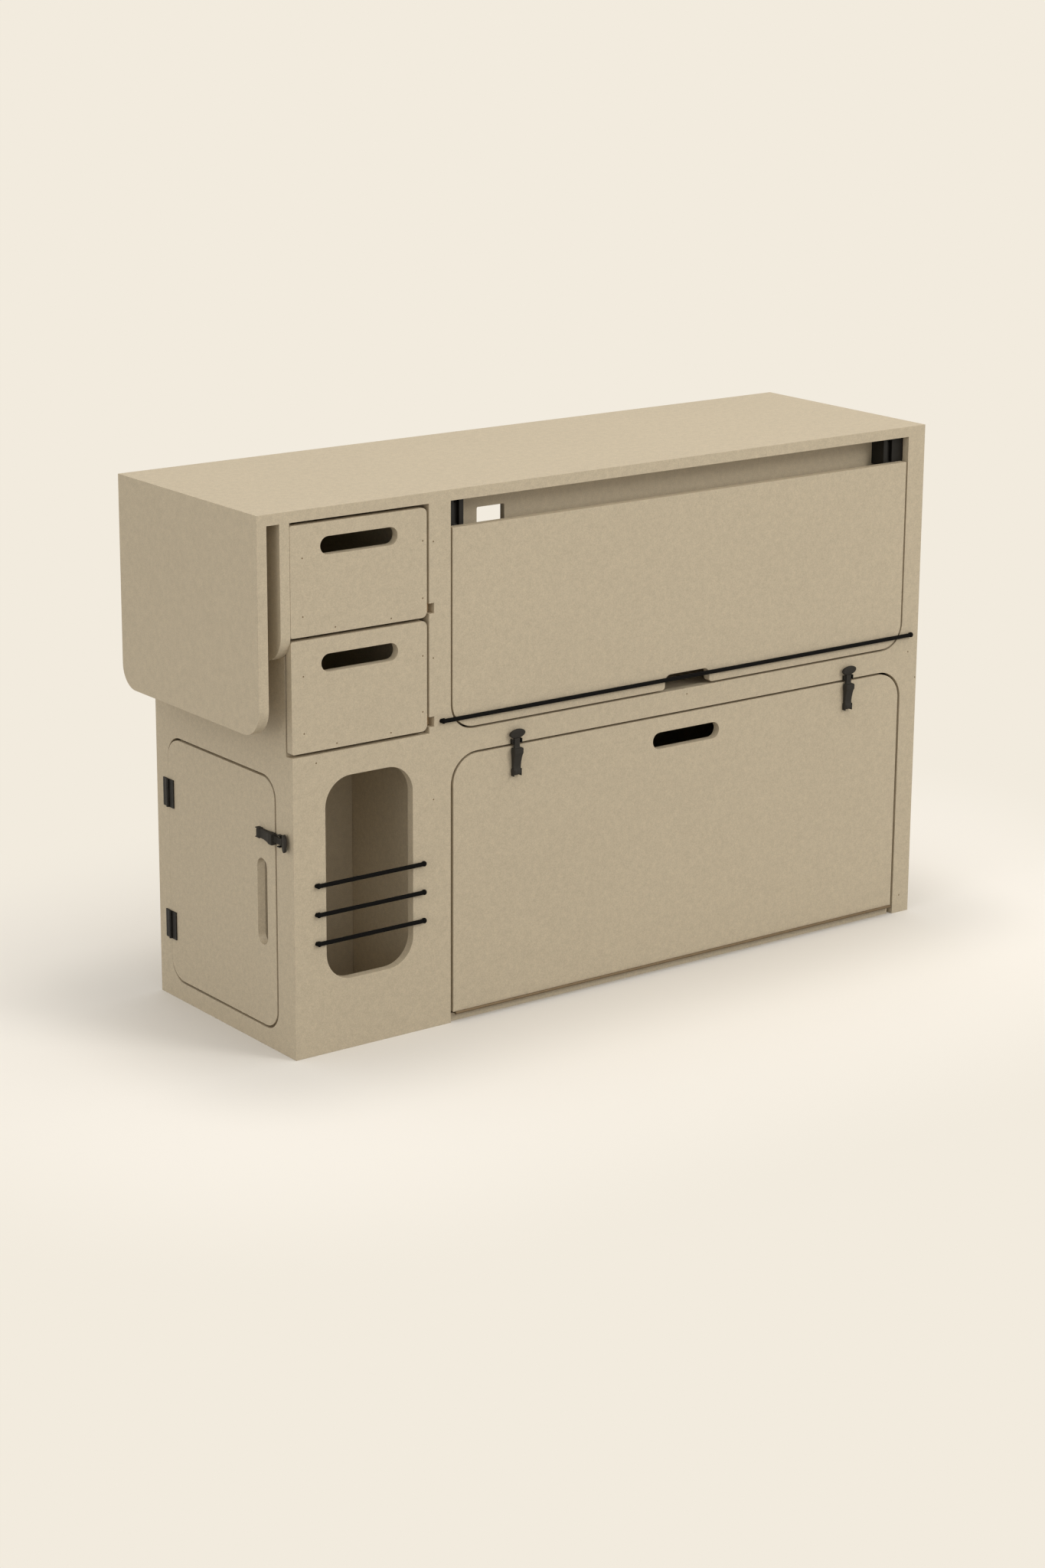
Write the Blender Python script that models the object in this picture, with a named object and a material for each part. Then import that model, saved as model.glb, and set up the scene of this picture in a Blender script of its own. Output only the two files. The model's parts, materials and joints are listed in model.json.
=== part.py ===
"""Campervan side unit: a worktop on a slim cabinet with two drawers, a fold-up flap, a drop-down door,
a side door, an open cubby held by elastic cords, and an overhang with a storage slot.

Lengths are in metres. Places are given in the cabinet's own frame: x runs along the front from the
lower cabinet's left face, y runs back from the front plane, z runs up from the floor. One empty moves
that frame so that the world origin lies under the middle of the whole unit.
"""

import math

import bmesh
import bpy
from mathutils import Matrix, Vector

# Whole unit
LENGTH = 1.096                # lower cabinet, left face to right face
DEPTH = 0.345
HEIGHT = 0.740
TOP_THICKNESS = 0.015
BOARD = 0.012                 # fronts, doors, sides and shelves
BACK_THICKNESS = 0.009
SEAT = 0.0003                 # gap between two pieces that touch
OVERRUN = 0.002               # how far a cutter runs past the face it opens

# Overhang at the left end: two hanging panels with a slot between them
OVERHANG_BOARD = 0.015
OVERHANG_SLOT = 0.0192
OUTER_PANEL_HEIGHT = 0.278
OUTER_FRONT_CORNER = 0.038
OUTER_BACK_CORNER = 0.032
INNER_PANEL_HEIGHT = 0.184
INNER_FRONT_CORNER = 0.038

# Front panel
MIDDLE_STILE = 0.035
RIGHT_STILE = 0.0317
RAIL_BOTTOM = 0.379
RAIL_HEIGHT = 0.032
LEFT_PART_TOP = 0.4145
LOWER_OPENING_CORNER = 0.043
FLAP_OPENING_CORNER = 0.038
ARCH_LEFT = 0.050
ARCH_BOTTOM = 0.0985
ARCH_WIDTH = 0.139
ARCH_HEIGHT = 0.2805
ARCH_CORNER = 0.040

# Boards inside
SHELF_TOP = 0.409
CUBBY_DEPTH = 0.185           # front plane to the partition behind the cubby
TONGUE_SETBACK = 0.005        # front plane to the floor's front edge, under the lower door
TONGUE_END_GAP = 0.006
BACK_OPENING_LEFT = 0.502     # opening in the back panel, behind the flap's compartment
BACK_OPENING_DROP = 0.070     # worktop's underside to the opening's top edge
BACK_OPENING_WIDTH = 0.120
BACK_OPENING_HEIGHT = 0.090
BACK_OPENING_CORNER = 0.015
CROSSBAR_THICKNESS = 0.0095   # board under the worktop, behind the flap's hinge blocks
CROSSBAR_HEIGHT = 0.085
CABLE_HOLE_SIZE = 0.0455      # square hole in the crossbar
CABLE_HOLE_LEFT = 0.3204
CABLE_HOLE_DROP = 0.0232      # worktop's underside to the hole's top edge
CABLE_HOLE_CORNER = 0.002

# Drawers
DRAWER_FRONT_WIDTH = 0.2125
DRAWER_SIDE_GAP = 0.0035
DRAWER_GAP = 0.0045           # above, between and below the drawer fronts
DRAWER_SHADOW_GAP = 0.0035    # between a drawer front's back and the side panel's front edge
DRAWER_GAPS = 3
LOWER_FRONT_SHARE = 0.5050505  # of the height that the two fronts share
DRAWER_RIGHT_CORNER = 0.008
DRAWER_LEFT_CORNER = 0.003
HAND_SLOT_LENGTH = 0.120
HAND_SLOT_WIDTH = 0.024
HAND_SLOT_DROP = 0.0313       # upper front's top edge to the slot's centre
BOX_RAISE = 0.0005            # drawer front's bottom edge to the box's underside
BOX_DROP = 0.017              # how much lower a box is than the upper front
BOX_BACK_GAP = 0.0157         # box to the back panel
BOX_LEFT_GAP = 0.001
BOX_RIGHT_GAP = 0.004
GROOVE_RISE = 0.004           # drawer front's bottom edge to its runner groove
GROOVE_HEIGHT = 0.0138
LEFT_GROOVE_DEPTH = 0.006
RIGHT_GROOVE_DEPTH = 0.008
RUNNER_HEIGHT = 0.013
RUNNER_END_GAP = 0.0005       # between a runner's edge and the bottom of its groove

# Flap and its hinges: open, the flap's outer face lies level with the worktop
FLAP_GAP = 0.003
FLAP_PIVOT_SETBACK = 0.025    # pivot behind the front plane, and below the worktop
FLAP_EDGE_GAP = 0.0015        # between the open flap's edge and the worktop's front edge
FINGER_NOTCH_WIDTH = 0.080
FINGER_NOTCH_HEIGHT = 0.021
FINGER_NOTCH_TOP_CORNER = 0.010
FINGER_NOTCH_LIP_CORNER = 0.005
HINGE_BLOCK_REACH = 0.03315   # opening's side to the block's inner face
HINGE_SHIFT = 0.004           # both blocks stand this far left of the opening's middle
HINGE_BLOCK_WIDTH = 0.036
HINGE_BLOCK_DEPTH = 0.0255
HINGE_BLOCK_HEIGHT = 0.040
HINGE_CHEEK = 0.007           # the block's wall beside the arm's slot, on its inner side
HINGE_SLOT_WIDTH = 0.009
HINGE_SLOT_DEPTH = 0.0207
HINGE_EYE_RADIUS = 0.0075
HINGE_PIN_RADIUS = 0.0025
HINGE_FOOT_WIDTH = 0.030
HINGE_FOOT_HEIGHT = 0.037
HINGE_FOOT_THICKNESS = 0.003
HINGE_FOOT_DROP = 0.033       # pivot to the foot's top edge
HINGE_NECK_DROP = 0.0245      # pivot to where the neck bends to the foot
HINGE_BACK_DROP = 0.015       # pivot to where the arm's back edge starts to slope

# Lower door, hung on a full-length hinge along its bottom edge
LOWER_DOOR_SIDE_GAP = 0.0042
LOWER_DOOR_TOP_GAP = 0.0032
DOOR_SLOT_DROP = 0.0341       # door's top edge to the hand slot's centre
LEAF_THICKNESS = 0.0006
LEAF_GAP = 0.0007             # between the closed leaves
LEAF_WIDTH = 0.0105
PIANO_BARREL_RADIUS = 0.002
PIANO_BORE_RADIUS = 0.0011
PIANO_AXIS_PROUD = 0.002      # hinge axis in front of the front plane
PIANO_END_GAP = 0.002
PIANO_KNUCKLES = 16
KNUCKLE_GAP = 0.0004

# Side door, hung on two butt hinges at its back edge
SIDE_OPENING_FRONT = 0.0413
SIDE_OPENING_BOTTOM = 0.026
SIDE_OPENING_BACK_MARGIN = 0.0305    # opening to the panel's back edge
SIDE_OPENING_TOP_MARGIN = 0.036      # opening's top to the lower part's top
SIDE_OPENING_CORNER = 0.031
SIDE_DOOR_GAP = 0.0034
SIDE_SLOT_FRONT = 0.0325      # door's front edge to the finger slot's centre line
SIDE_SLOT_RISE = 0.1719       # door's bottom edge to the slot's centre
SIDE_HINGE_HEIGHT = 0.040
SIDE_HINGE_RISES = (0.0763, 0.2663)   # door's bottom edge to each hinge's centre
SIDE_LEAF_THICKNESS = 0.0016
SIDE_LEAF_REACH = 0.013       # hinge axis to a leaf's far edge
SIDE_BARREL_RADIUS = 0.0025
SIDE_BORE_RADIUS = 0.0015
SIDE_KNUCKLES = 3

# Rubber strap latches, measured from the pin that each strap turns on
LATCH_PIVOT_PROUD = 0.0042    # pin above the face that the latch sits on
LATCH_INSET = 0.10245         # lower door's side edge to the pin's middle
LATCH_PIVOT_DROP = 0.0368     # lower door's top edge to the pin
SIDE_LATCH_BACK = 0.033       # side door's front edge to the pin
SIDE_LATCH_RISE = 0.2683      # side door's bottom edge to the latch's centre line
SIDE_LATCH_STRETCH = 0.0056   # how much further the side latch's strap is pulled
STRAP_BASE_WIDTH = 0.0106
STRAP_BASE_LENGTH = 0.0075    # from the pin to where the body widens past the bracket's ears
STRAP_EYE_RADIUS = 0.0028
STRAP_CLEARANCE = 0.0006      # strap above the door's face
STRAP_BODY_LENGTH = 0.0345    # pin to the shoulder
STRAP_BODY_WIDTH = 0.0142
STRAP_PROUD = 0.0063          # shoulder's front edge in front of the pin
STRAP_THIN_SETBACK = 0.0006   # front of the body behind the pin, where it is thinnest
STRAP_THIN_LENGTH = 0.0075    # pin to where the body is thinnest
STRAP_NECK_WIDTH = 0.008
STRAP_NECK_BACK = 0.002
STRAP_NECK_FRONT = 0.0025
STRAP_HEAD_RISE = 0.0545      # pin to the head's centre
STRAP_HEAD_WIDTH = 0.0245
STRAP_HEAD_HEIGHT = 0.0125
STRAP_HEAD_DEPTH = 0.0072
STRAP_BORE_RADIUS = 0.0015
LATCH_PIN_RADIUS = 0.0012
LATCH_PLATE_THICKNESS = 0.0008
LATCH_PLATE_HEIGHT = 0.010
LATCH_EAR_THICKNESS = 0.0012
LATCH_EAR_GAP = 0.00035
LATCH_EAR_FRONT = 0.0025
KEEPER_RISE = 0.0405          # pin to the keeper's lower edge
KEEPER_PLATE_HEIGHT = 0.0045
KEEPER_PRONG_HEIGHT = 0.0066
KEEPER_WIDTH = 0.0165
KEEPER_PRONG = 0.0012
KEEPER_PRONG_FRONT = 0.0015

# Elastic cords
CORD_RADIUS = 0.0026
CORD_HOLE_CLEARANCE = 0.0004
CORD_BEND = 0.0032            # radius of the bend round the hole's edge, along the cord's middle
CORD_KNOT_RADIUS = 0.004
CORD_KNOB_RADIUS = 0.0038     # bead over the bend, on the panel's face
CORD_TAIL = 0.005             # from the knot's middle to the cord's end
ARCH_CORD_LEFT_MARGIN = 0.015        # arch to the cords' left holes
ARCH_CORD_RIGHT_MARGIN = 0.0165      # arch to the cords' right holes
ARCH_CORD_RISES = (0.0578, 0.0978, 0.1378)   # above the arch's lowest point
FLAP_CORD_INSET = 0.0195      # stile's left edge to the flap cord's left hole
FLAP_CORD_MARGIN = 0.0163     # flap cord's right hole to the right end
FLAP_CORD_RISE = 0.018        # rail's top edge to the flap cord

# How finely round shapes are cut
LARGE_RADIUS = 0.020
LARGE_CORNER_STEPS = 12
SMALL_CORNER_STEPS = 6
BARREL_SIDES = 12
BORE_SIDES = 8
PIN_SIDES = 16
HEAD_SEGMENTS = 16
HEAD_RINGS = 8
BEAD_SEGMENTS = 12
BEAD_RINGS = 6
CORD_BEND_STEPS = 3
CORD_SIDE_RESOLUTION = 2
SMOOTH_ANGLE = math.radians(35)
WELD = 0.00001

# Places that follow from the sizes above
TOP_UNDERSIDE = HEIGHT - TOP_THICKNESS
UNDER_TOP = TOP_UNDERSIDE - SEAT
BEHIND_FRONT = BOARD + SEAT
BACK_FACE = DEPTH - BACK_THICKNESS
BEFORE_BACK = BACK_FACE - SEAT
INSIDE_LEFT = BOARD + SEAT
INSIDE_RIGHT = LENGTH - BOARD - SEAT
ABOVE_FLOOR = BOARD + SEAT
OVERHANG = 2 * OVERHANG_BOARD + OVERHANG_SLOT + SEAT
DIVIDER_LEFT = DRAWER_FRONT_WIDTH + DRAWER_SIDE_GAP
DIVIDER_RIGHT = DIVIDER_LEFT + BOARD
ARCH_CORD_LEFT = ARCH_LEFT - ARCH_CORD_LEFT_MARGIN
ARCH_CORD_RIGHT = ARCH_LEFT + ARCH_WIDTH + ARCH_CORD_RIGHT_MARGIN
ARCH_CORD_HEIGHTS = [ARCH_BOTTOM + rise for rise in ARCH_CORD_RISES]
FLAP_CORD_LEFT = DIVIDER_LEFT + FLAP_CORD_INSET
FLAP_CORD_RIGHT = LENGTH - FLAP_CORD_MARGIN
OPENING_LEFT = DIVIDER_LEFT + MIDDLE_STILE
OPENING_RIGHT = LENGTH - RIGHT_STILE
OPENING_CENTRE = (OPENING_LEFT + OPENING_RIGHT) / 2
CROSSBAR_FACE = BEHIND_FRONT + HINGE_BLOCK_DEPTH + SEAT
CROSSBAR_BOTTOM = TOP_UNDERSIDE - CROSSBAR_HEIGHT
CABLE_HOLE_TOP = TOP_UNDERSIDE - CABLE_HOLE_DROP
BACK_OPENING_TOP = TOP_UNDERSIDE - BACK_OPENING_DROP
RAIL_TOP = RAIL_BOTTOM + RAIL_HEIGHT
FLAP_CORD_HEIGHT = RAIL_TOP + FLAP_CORD_RISE
SIDE_PANEL_FRONT = BOARD + DRAWER_SHADOW_GAP
DRAWER_FRONTS = TOP_UNDERSIDE - LEFT_PART_TOP - DRAWER_GAPS * DRAWER_GAP
LOWER_FRONT_HEIGHT = DRAWER_FRONTS * LOWER_FRONT_SHARE
UPPER_FRONT_HEIGHT = DRAWER_FRONTS - LOWER_FRONT_HEIGHT
HAND_SLOT_RISE = UPPER_FRONT_HEIGHT - HAND_SLOT_DROP
BOX_HEIGHT = UPPER_FRONT_HEIGHT - BOX_DROP
BOX_END = BACK_FACE - BOX_BACK_GAP
LOWER_DRAWER_BOTTOM = LEFT_PART_TOP + DRAWER_GAP
UPPER_DRAWER_BOTTOM = LOWER_DRAWER_BOTTOM + LOWER_FRONT_HEIGHT + DRAWER_GAP
GROOVE_BOTTOMS = (UPPER_DRAWER_BOTTOM + GROOVE_RISE, LOWER_DRAWER_BOTTOM + GROOVE_RISE)
FLAP_PIVOT = (OPENING_CENTRE, FLAP_PIVOT_SETBACK, HEIGHT - FLAP_PIVOT_SETBACK)
FLAP_TOP = FLAP_PIVOT[2] - FLAP_PIVOT_SETBACK - FLAP_EDGE_GAP
PIANO_STACK = 2 * SEAT + 2 * LEAF_THICKNESS + LEAF_GAP
LOWER_DOOR_BOTTOM = BOARD + PIANO_STACK
LOWER_DOOR_TOP = RAIL_BOTTOM - LOWER_DOOR_TOP_GAP
LOWER_DOOR_LEFT = OPENING_LEFT + LOWER_DOOR_SIDE_GAP
LOWER_DOOR_RIGHT = OPENING_RIGHT - LOWER_DOOR_SIDE_GAP
PIANO_AXIS = (OPENING_CENTRE, -PIANO_AXIS_PROUD, BOARD + PIANO_STACK / 2)
SIDE_OPENING_BACK = DEPTH - SIDE_OPENING_BACK_MARGIN
SIDE_OPENING_TOP = LEFT_PART_TOP - SIDE_OPENING_TOP_MARGIN
SIDE_DOOR_FRONT = SIDE_OPENING_FRONT + SIDE_DOOR_GAP
SIDE_DOOR_BACK = SIDE_OPENING_BACK - SIDE_DOOR_GAP
SIDE_DOOR_BOTTOM = SIDE_OPENING_BOTTOM + SIDE_DOOR_GAP
SIDE_DOOR_TOP = SIDE_OPENING_TOP - SIDE_DOOR_GAP
SIDE_AXIS = (-SIDE_BARREL_RADIUS, SIDE_DOOR_BACK + SIDE_DOOR_GAP / 2, SIDE_DOOR_BOTTOM)
LATCH_REACH = LATCH_PIVOT_PROUD + STRAP_PROUD

# Turns that stand a flat outline up: across the front, and along the side
ACROSS_FRONT = (math.radians(90), 0, 0)
ALONG_SIDE = (math.radians(90), 0, math.radians(90))


def clear_scene():
    for item in list(bpy.data.objects):
        bpy.data.objects.remove(item, do_unlink=True)


def new_collection(name):
    collection = bpy.data.collections.new(name)
    bpy.context.scene.collection.children.link(collection)
    return collection


def new_material(name, colour, roughness, metallic=0.0):
    material = bpy.data.materials.new(name)
    material.use_nodes = True
    shader = material.node_tree.nodes["Principled BSDF"]
    shader.inputs["Base Color"].default_value = (*colour, 1.0)
    shader.inputs["Roughness"].default_value = roughness
    shader.inputs["Metallic"].default_value = metallic
    material.diffuse_color = (*colour, 1.0)
    return material


clear_scene()
PIECES = new_collection("campervan_side_unit")
CUTTERS = new_collection("cutters")

SAND_LAMINATE = new_material("sand_laminate", (0.50, 0.41, 0.28), 0.6)
BARE_BOARD = new_material("bare_board", (0.45, 0.34, 0.21), 0.7)
BLACK_HINGE = new_material("black_hinge", (0.02, 0.02, 0.02), 0.45)
BLACK_RUBBER = new_material("black_rubber", (0.015, 0.015, 0.015), 0.7)
STEEL = new_material("steel", (0.55, 0.55, 0.55), 0.3, 1.0)
BRONZE_HINGE = new_material("bronze_hinge", (0.28, 0.21, 0.14), 0.4, 1.0)
ELASTIC_CORD = new_material("elastic_cord", (0.012, 0.012, 0.012), 0.8)


def new_empty(name, place, parent=None):
    """An empty at a place in the cabinet's frame, which carries the pieces of one body."""
    empty = bpy.data.objects.new(name, None)
    PIECES.objects.link(empty)
    empty.parent = parent
    empty.location = Vector(place) - cabinet_place(parent)
    return empty


def cabinet_place(empty):
    """Where an empty stands in the cabinet's frame."""
    place = Vector((0, 0, 0))
    while empty is not None and empty.parent is not None:
        place += empty.location
        empty = empty.parent
    return place


def new_piece(name, mesh, material, carrier, place=(0, 0, 0), turn=(0, 0, 0)):
    """A piece of the unit, at a place in the cabinet's frame, parented to its body's empty."""
    piece = bpy.data.objects.new(name, mesh)
    PIECES.objects.link(piece)
    mesh.materials.append(material)
    piece.parent = carrier
    piece.location = Vector(place) - cabinet_place(carrier)
    piece.rotation_euler = turn
    mesh.shade_smooth()
    mesh.set_sharp_from_angle(angle=SMOOTH_ANGLE)
    return piece


def shape(piece, label, mesh, operation):
    """Join a mesh to a piece, or cut it away. The mesh is in the piece's own coordinates."""
    tool = bpy.data.objects.new(f"{piece.name}_{label}", mesh)
    CUTTERS.objects.link(tool)
    tool.parent = piece.parent
    tool.location = piece.location
    tool.rotation_euler = piece.rotation_euler
    tool.hide_render = True
    tool.display_type = "WIRE"
    modifier = piece.modifiers.new(label, "BOOLEAN")
    modifier.operation = operation
    modifier.solver = "EXACT"
    modifier.object = tool


def rounded(corners):
    """Points of a closed outline. Each corner is (a, b, radius); a radius of zero leaves it sharp."""
    points = []
    for index, (a, b, radius) in enumerate(corners):
        corner = Vector((a, b))
        if radius == 0:
            points.append(corner)
            continue
        before = (Vector(corners[index - 1][:2]) - corner).normalized()
        after = (Vector(corners[(index + 1) % len(corners)][:2]) - corner).normalized()
        half = before.angle(after) / 2
        centre = corner + (before + after).normalized() * radius / math.sin(half)
        first = corner + before * radius / math.tan(half) - centre
        last = corner + after * radius / math.tan(half) - centre
        sweep = math.copysign(math.pi - 2 * half, first.cross(last))
        steps = LARGE_CORNER_STEPS if radius > LARGE_RADIUS else SMALL_CORNER_STEPS
        for step in range(steps + 1):
            point = centre + Matrix.Rotation(sweep * step / steps, 2) @ first
            if not points or (point - points[-1]).length > WELD:
                points.append(point)
    if (points[0] - points[-1]).length < WELD:
        points.pop()
    return points


def rectangle(low_a, low_b, high_a, high_b, radius=0):
    return rounded([(low_a, low_b, radius), (high_a, low_b, radius),
                    (high_a, high_b, radius), (low_a, high_b, radius)])


def round_hole(a, b, radius):
    return rectangle(a - radius, b - radius, a + radius, b + radius, radius)


def hand_slot(a, b, width, height):
    return rectangle(a - width / 2, b - height / 2, a + width / 2, b + height / 2,
                     min(width, height) / 2)


def outline_mesh(name, outer, holes, thickness):
    """A flat outline with holes, from z = 0 to its thickness, as one welded mesh."""
    curve = bpy.data.curves.new(name, "CURVE")
    curve.dimensions = "2D"
    curve.fill_mode = "BOTH"
    curve.extrude = thickness / 2
    for outline in (outer, *holes):
        spline = curve.splines.new("POLY")
        spline.points.add(len(outline) - 1)
        for point, (a, b) in zip(spline.points, outline):
            point.co = (a, b, 0, 1)
        spline.use_cyclic_u = True
    return welded_mesh(name, curve, Matrix.Translation((0, 0, thickness / 2)))


def welded_mesh(name, curve, matrix):
    """The mesh of a curve, moved by a matrix, with its loose caps welded and its faces outwards."""
    guide = bpy.data.objects.new(name, curve)
    CUTTERS.objects.link(guide)
    evaluated = guide.evaluated_get(bpy.context.evaluated_depsgraph_get())
    mesh = bpy.data.meshes.new_from_object(evaluated)
    mesh.name = name
    bpy.data.objects.remove(guide, do_unlink=True)
    form = bmesh.new()
    form.from_mesh(mesh)
    bmesh.ops.transform(form, matrix=matrix, verts=form.verts)
    bmesh.ops.remove_doubles(form, verts=form.verts, dist=WELD)
    bmesh.ops.recalc_face_normals(form, faces=form.faces)
    form.to_mesh(mesh)
    form.free()
    return mesh


def boxes_mesh(name, boxes):
    """Boxes, each given by its lowest and highest corner."""
    mesh = bpy.data.meshes.new(name)
    form = bmesh.new()
    for low, high in boxes:
        low, high = Vector(low), Vector(high)
        scale = Matrix.Diagonal((*(high - low), 1))
        bmesh.ops.create_cube(form, size=1, matrix=Matrix.Translation((low + high) / 2) @ scale)
    form.to_mesh(mesh)
    form.free()
    return mesh


def rods_mesh(name, rods, radius, sides):
    """Round rods of one radius, each given by the middles of its two ends."""
    mesh = bpy.data.meshes.new(name)
    form = bmesh.new()
    for start, end in rods:
        start, end = Vector(start), Vector(end)
        turn = Vector((0, 0, 1)).rotation_difference(end - start).to_matrix().to_4x4()
        bmesh.ops.create_cone(form, cap_ends=True, segments=sides, radius1=radius, radius2=radius,
                              depth=(end - start).length,
                              matrix=Matrix.Translation((start + end) / 2) @ turn)
    form.to_mesh(mesh)
    form.free()
    return mesh


def balls_mesh(name, centres, radii, segments, rings):
    """Balls or ovals with the same radii along x, y and z, at several centres."""
    mesh = bpy.data.meshes.new(name)
    form = bmesh.new()
    scale = Matrix.Diagonal((*radii, 1))
    for centre in centres:
        bmesh.ops.create_uvsphere(form, u_segments=segments, v_segments=rings, radius=1,
                                  matrix=Matrix.Translation(centre) @ scale)
    form.to_mesh(mesh)
    form.free()
    return mesh


def box_piece(name, low, high, material, carrier):
    """A plain board, given by its lowest and highest corner in the cabinet's frame."""
    low, high = Vector(low), Vector(high)
    return new_piece(name, boxes_mesh(name, [((0, 0, 0), high - low)]), material, carrier, low)


def front_board(name, outer, holes, front, depth, material, carrier):
    """An outline in (x, z), from one distance behind the front plane back by its depth."""
    mesh = outline_mesh(name, outer, holes, depth)
    return new_piece(name, mesh, material, carrier, (0, front + depth, 0), ACROSS_FRONT)


def side_board(name, outer, holes, left, width, material, carrier):
    """An outline in (y, z), from one place along the front, as wide as it says."""
    mesh = outline_mesh(name, outer, holes, width)
    return new_piece(name, mesh, material, carrier, (left, 0, 0), ALONG_SIDE)


def flat_board(name, outer, bottom, height, material, carrier):
    """An outline in (x, y), from one height up."""
    return new_piece(name, outline_mesh(name, outer, [], height), material, carrier, (0, 0, bottom))


def groove_corners(left, depth):
    """Outline corners of the two runner grooves in a board's left edge, from the top down."""
    corners = []
    for bottom in GROOVE_BOTTOMS:
        top = bottom + GROOVE_HEIGHT
        corners += [(left, top, 0), (left + depth, top, 0), (left + depth, bottom, 0), (left, bottom, 0)]
    return corners


def cord_holes():
    radius = CORD_RADIUS + CORD_HOLE_CLEARANCE
    ends = [(ARCH_CORD_LEFT, ARCH_CORD_RIGHT, height) for height in ARCH_CORD_HEIGHTS]
    ends.append((FLAP_CORD_LEFT, FLAP_CORD_RIGHT, FLAP_CORD_HEIGHT))
    return [round_hole(x, height, radius) for left, right, height in ends for x in (left, right)]


def build_front_panel(cabinet):
    """One sheet with the cubby's arch, the middle and right stiles and the rail between the doors."""
    outer = rounded([
        (0, 0, 0),
        (OPENING_LEFT, 0, 0),
        (OPENING_LEFT, RAIL_BOTTOM, LOWER_OPENING_CORNER),
        (OPENING_RIGHT, RAIL_BOTTOM, LOWER_OPENING_CORNER),
        (OPENING_RIGHT, 0, 0),
        (LENGTH, 0, 0),
        (LENGTH, UNDER_TOP, 0),
        (OPENING_RIGHT, UNDER_TOP, 0),
        (OPENING_RIGHT, RAIL_TOP, FLAP_OPENING_CORNER),
        (OPENING_LEFT, RAIL_TOP, FLAP_OPENING_CORNER),
        (OPENING_LEFT, UNDER_TOP, 0),
        (DIVIDER_LEFT, UNDER_TOP, 0),
        *groove_corners(DIVIDER_LEFT, RIGHT_GROOVE_DEPTH),
        (DIVIDER_LEFT, LEFT_PART_TOP, 0),
        (0, LEFT_PART_TOP, 0),
    ])
    arch = rectangle(ARCH_LEFT, ARCH_BOTTOM, ARCH_LEFT + ARCH_WIDTH, ARCH_BOTTOM + ARCH_HEIGHT, ARCH_CORNER)
    front_board("front_panel", outer, [arch, *cord_holes()], 0, BOARD, SAND_LAMINATE, cabinet)


def build_side_panels(cabinet):
    outer = rounded([
        (BEHIND_FRONT, 0, 0),
        (DEPTH, 0, 0),
        (DEPTH, UNDER_TOP, 0),
        (SIDE_PANEL_FRONT, UNDER_TOP, 0),
        (SIDE_PANEL_FRONT, LEFT_PART_TOP, 0),
        (BEHIND_FRONT, LEFT_PART_TOP, 0),
    ])
    opening = rectangle(SIDE_OPENING_FRONT, SIDE_OPENING_BOTTOM, SIDE_OPENING_BACK,
                        SIDE_OPENING_TOP, SIDE_OPENING_CORNER)
    panel = side_board("left_side_panel", outer, [opening], 0, BOARD, SAND_LAMINATE, cabinet)
    # In the panel's own coordinates x runs back, y runs up and z runs through the board.
    grooves = [((SIDE_PANEL_FRONT - OVERRUN, bottom, BOARD - LEFT_GROOVE_DEPTH),
                (BACK_FACE, bottom + GROOVE_HEIGHT, BOARD + OVERRUN)) for bottom in GROOVE_BOTTOMS]
    shape(panel, "runner_grooves", boxes_mesh("left_grooves", grooves), "DIFFERENCE")

    box_piece("right_end_panel", (LENGTH - BOARD, BEHIND_FRONT, 0), (LENGTH, DEPTH, UNDER_TOP),
              SAND_LAMINATE, cabinet)


def build_overhang(cabinet):
    box_piece("top_panel", (-OVERHANG, 0, TOP_UNDERSIDE), (LENGTH, DEPTH, HEIGHT), SAND_LAMINATE, cabinet)
    outer_bottom = TOP_UNDERSIDE - OUTER_PANEL_HEIGHT
    outer = rounded([(0, outer_bottom, OUTER_FRONT_CORNER), (DEPTH, outer_bottom, OUTER_BACK_CORNER),
                     (DEPTH, UNDER_TOP, 0), (0, UNDER_TOP, 0)])
    side_board("overhang_outer_panel", outer, [], -OVERHANG, OVERHANG_BOARD, SAND_LAMINATE, cabinet)
    inner_bottom = TOP_UNDERSIDE - INNER_PANEL_HEIGHT
    inner = rounded([(0, inner_bottom, INNER_FRONT_CORNER), (DEPTH, inner_bottom, 0),
                     (DEPTH, UNDER_TOP, 0), (0, UNDER_TOP, 0)])
    side_board("overhang_inner_panel", inner, [], -SEAT - OVERHANG_BOARD, OVERHANG_BOARD,
               SAND_LAMINATE, cabinet)


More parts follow.
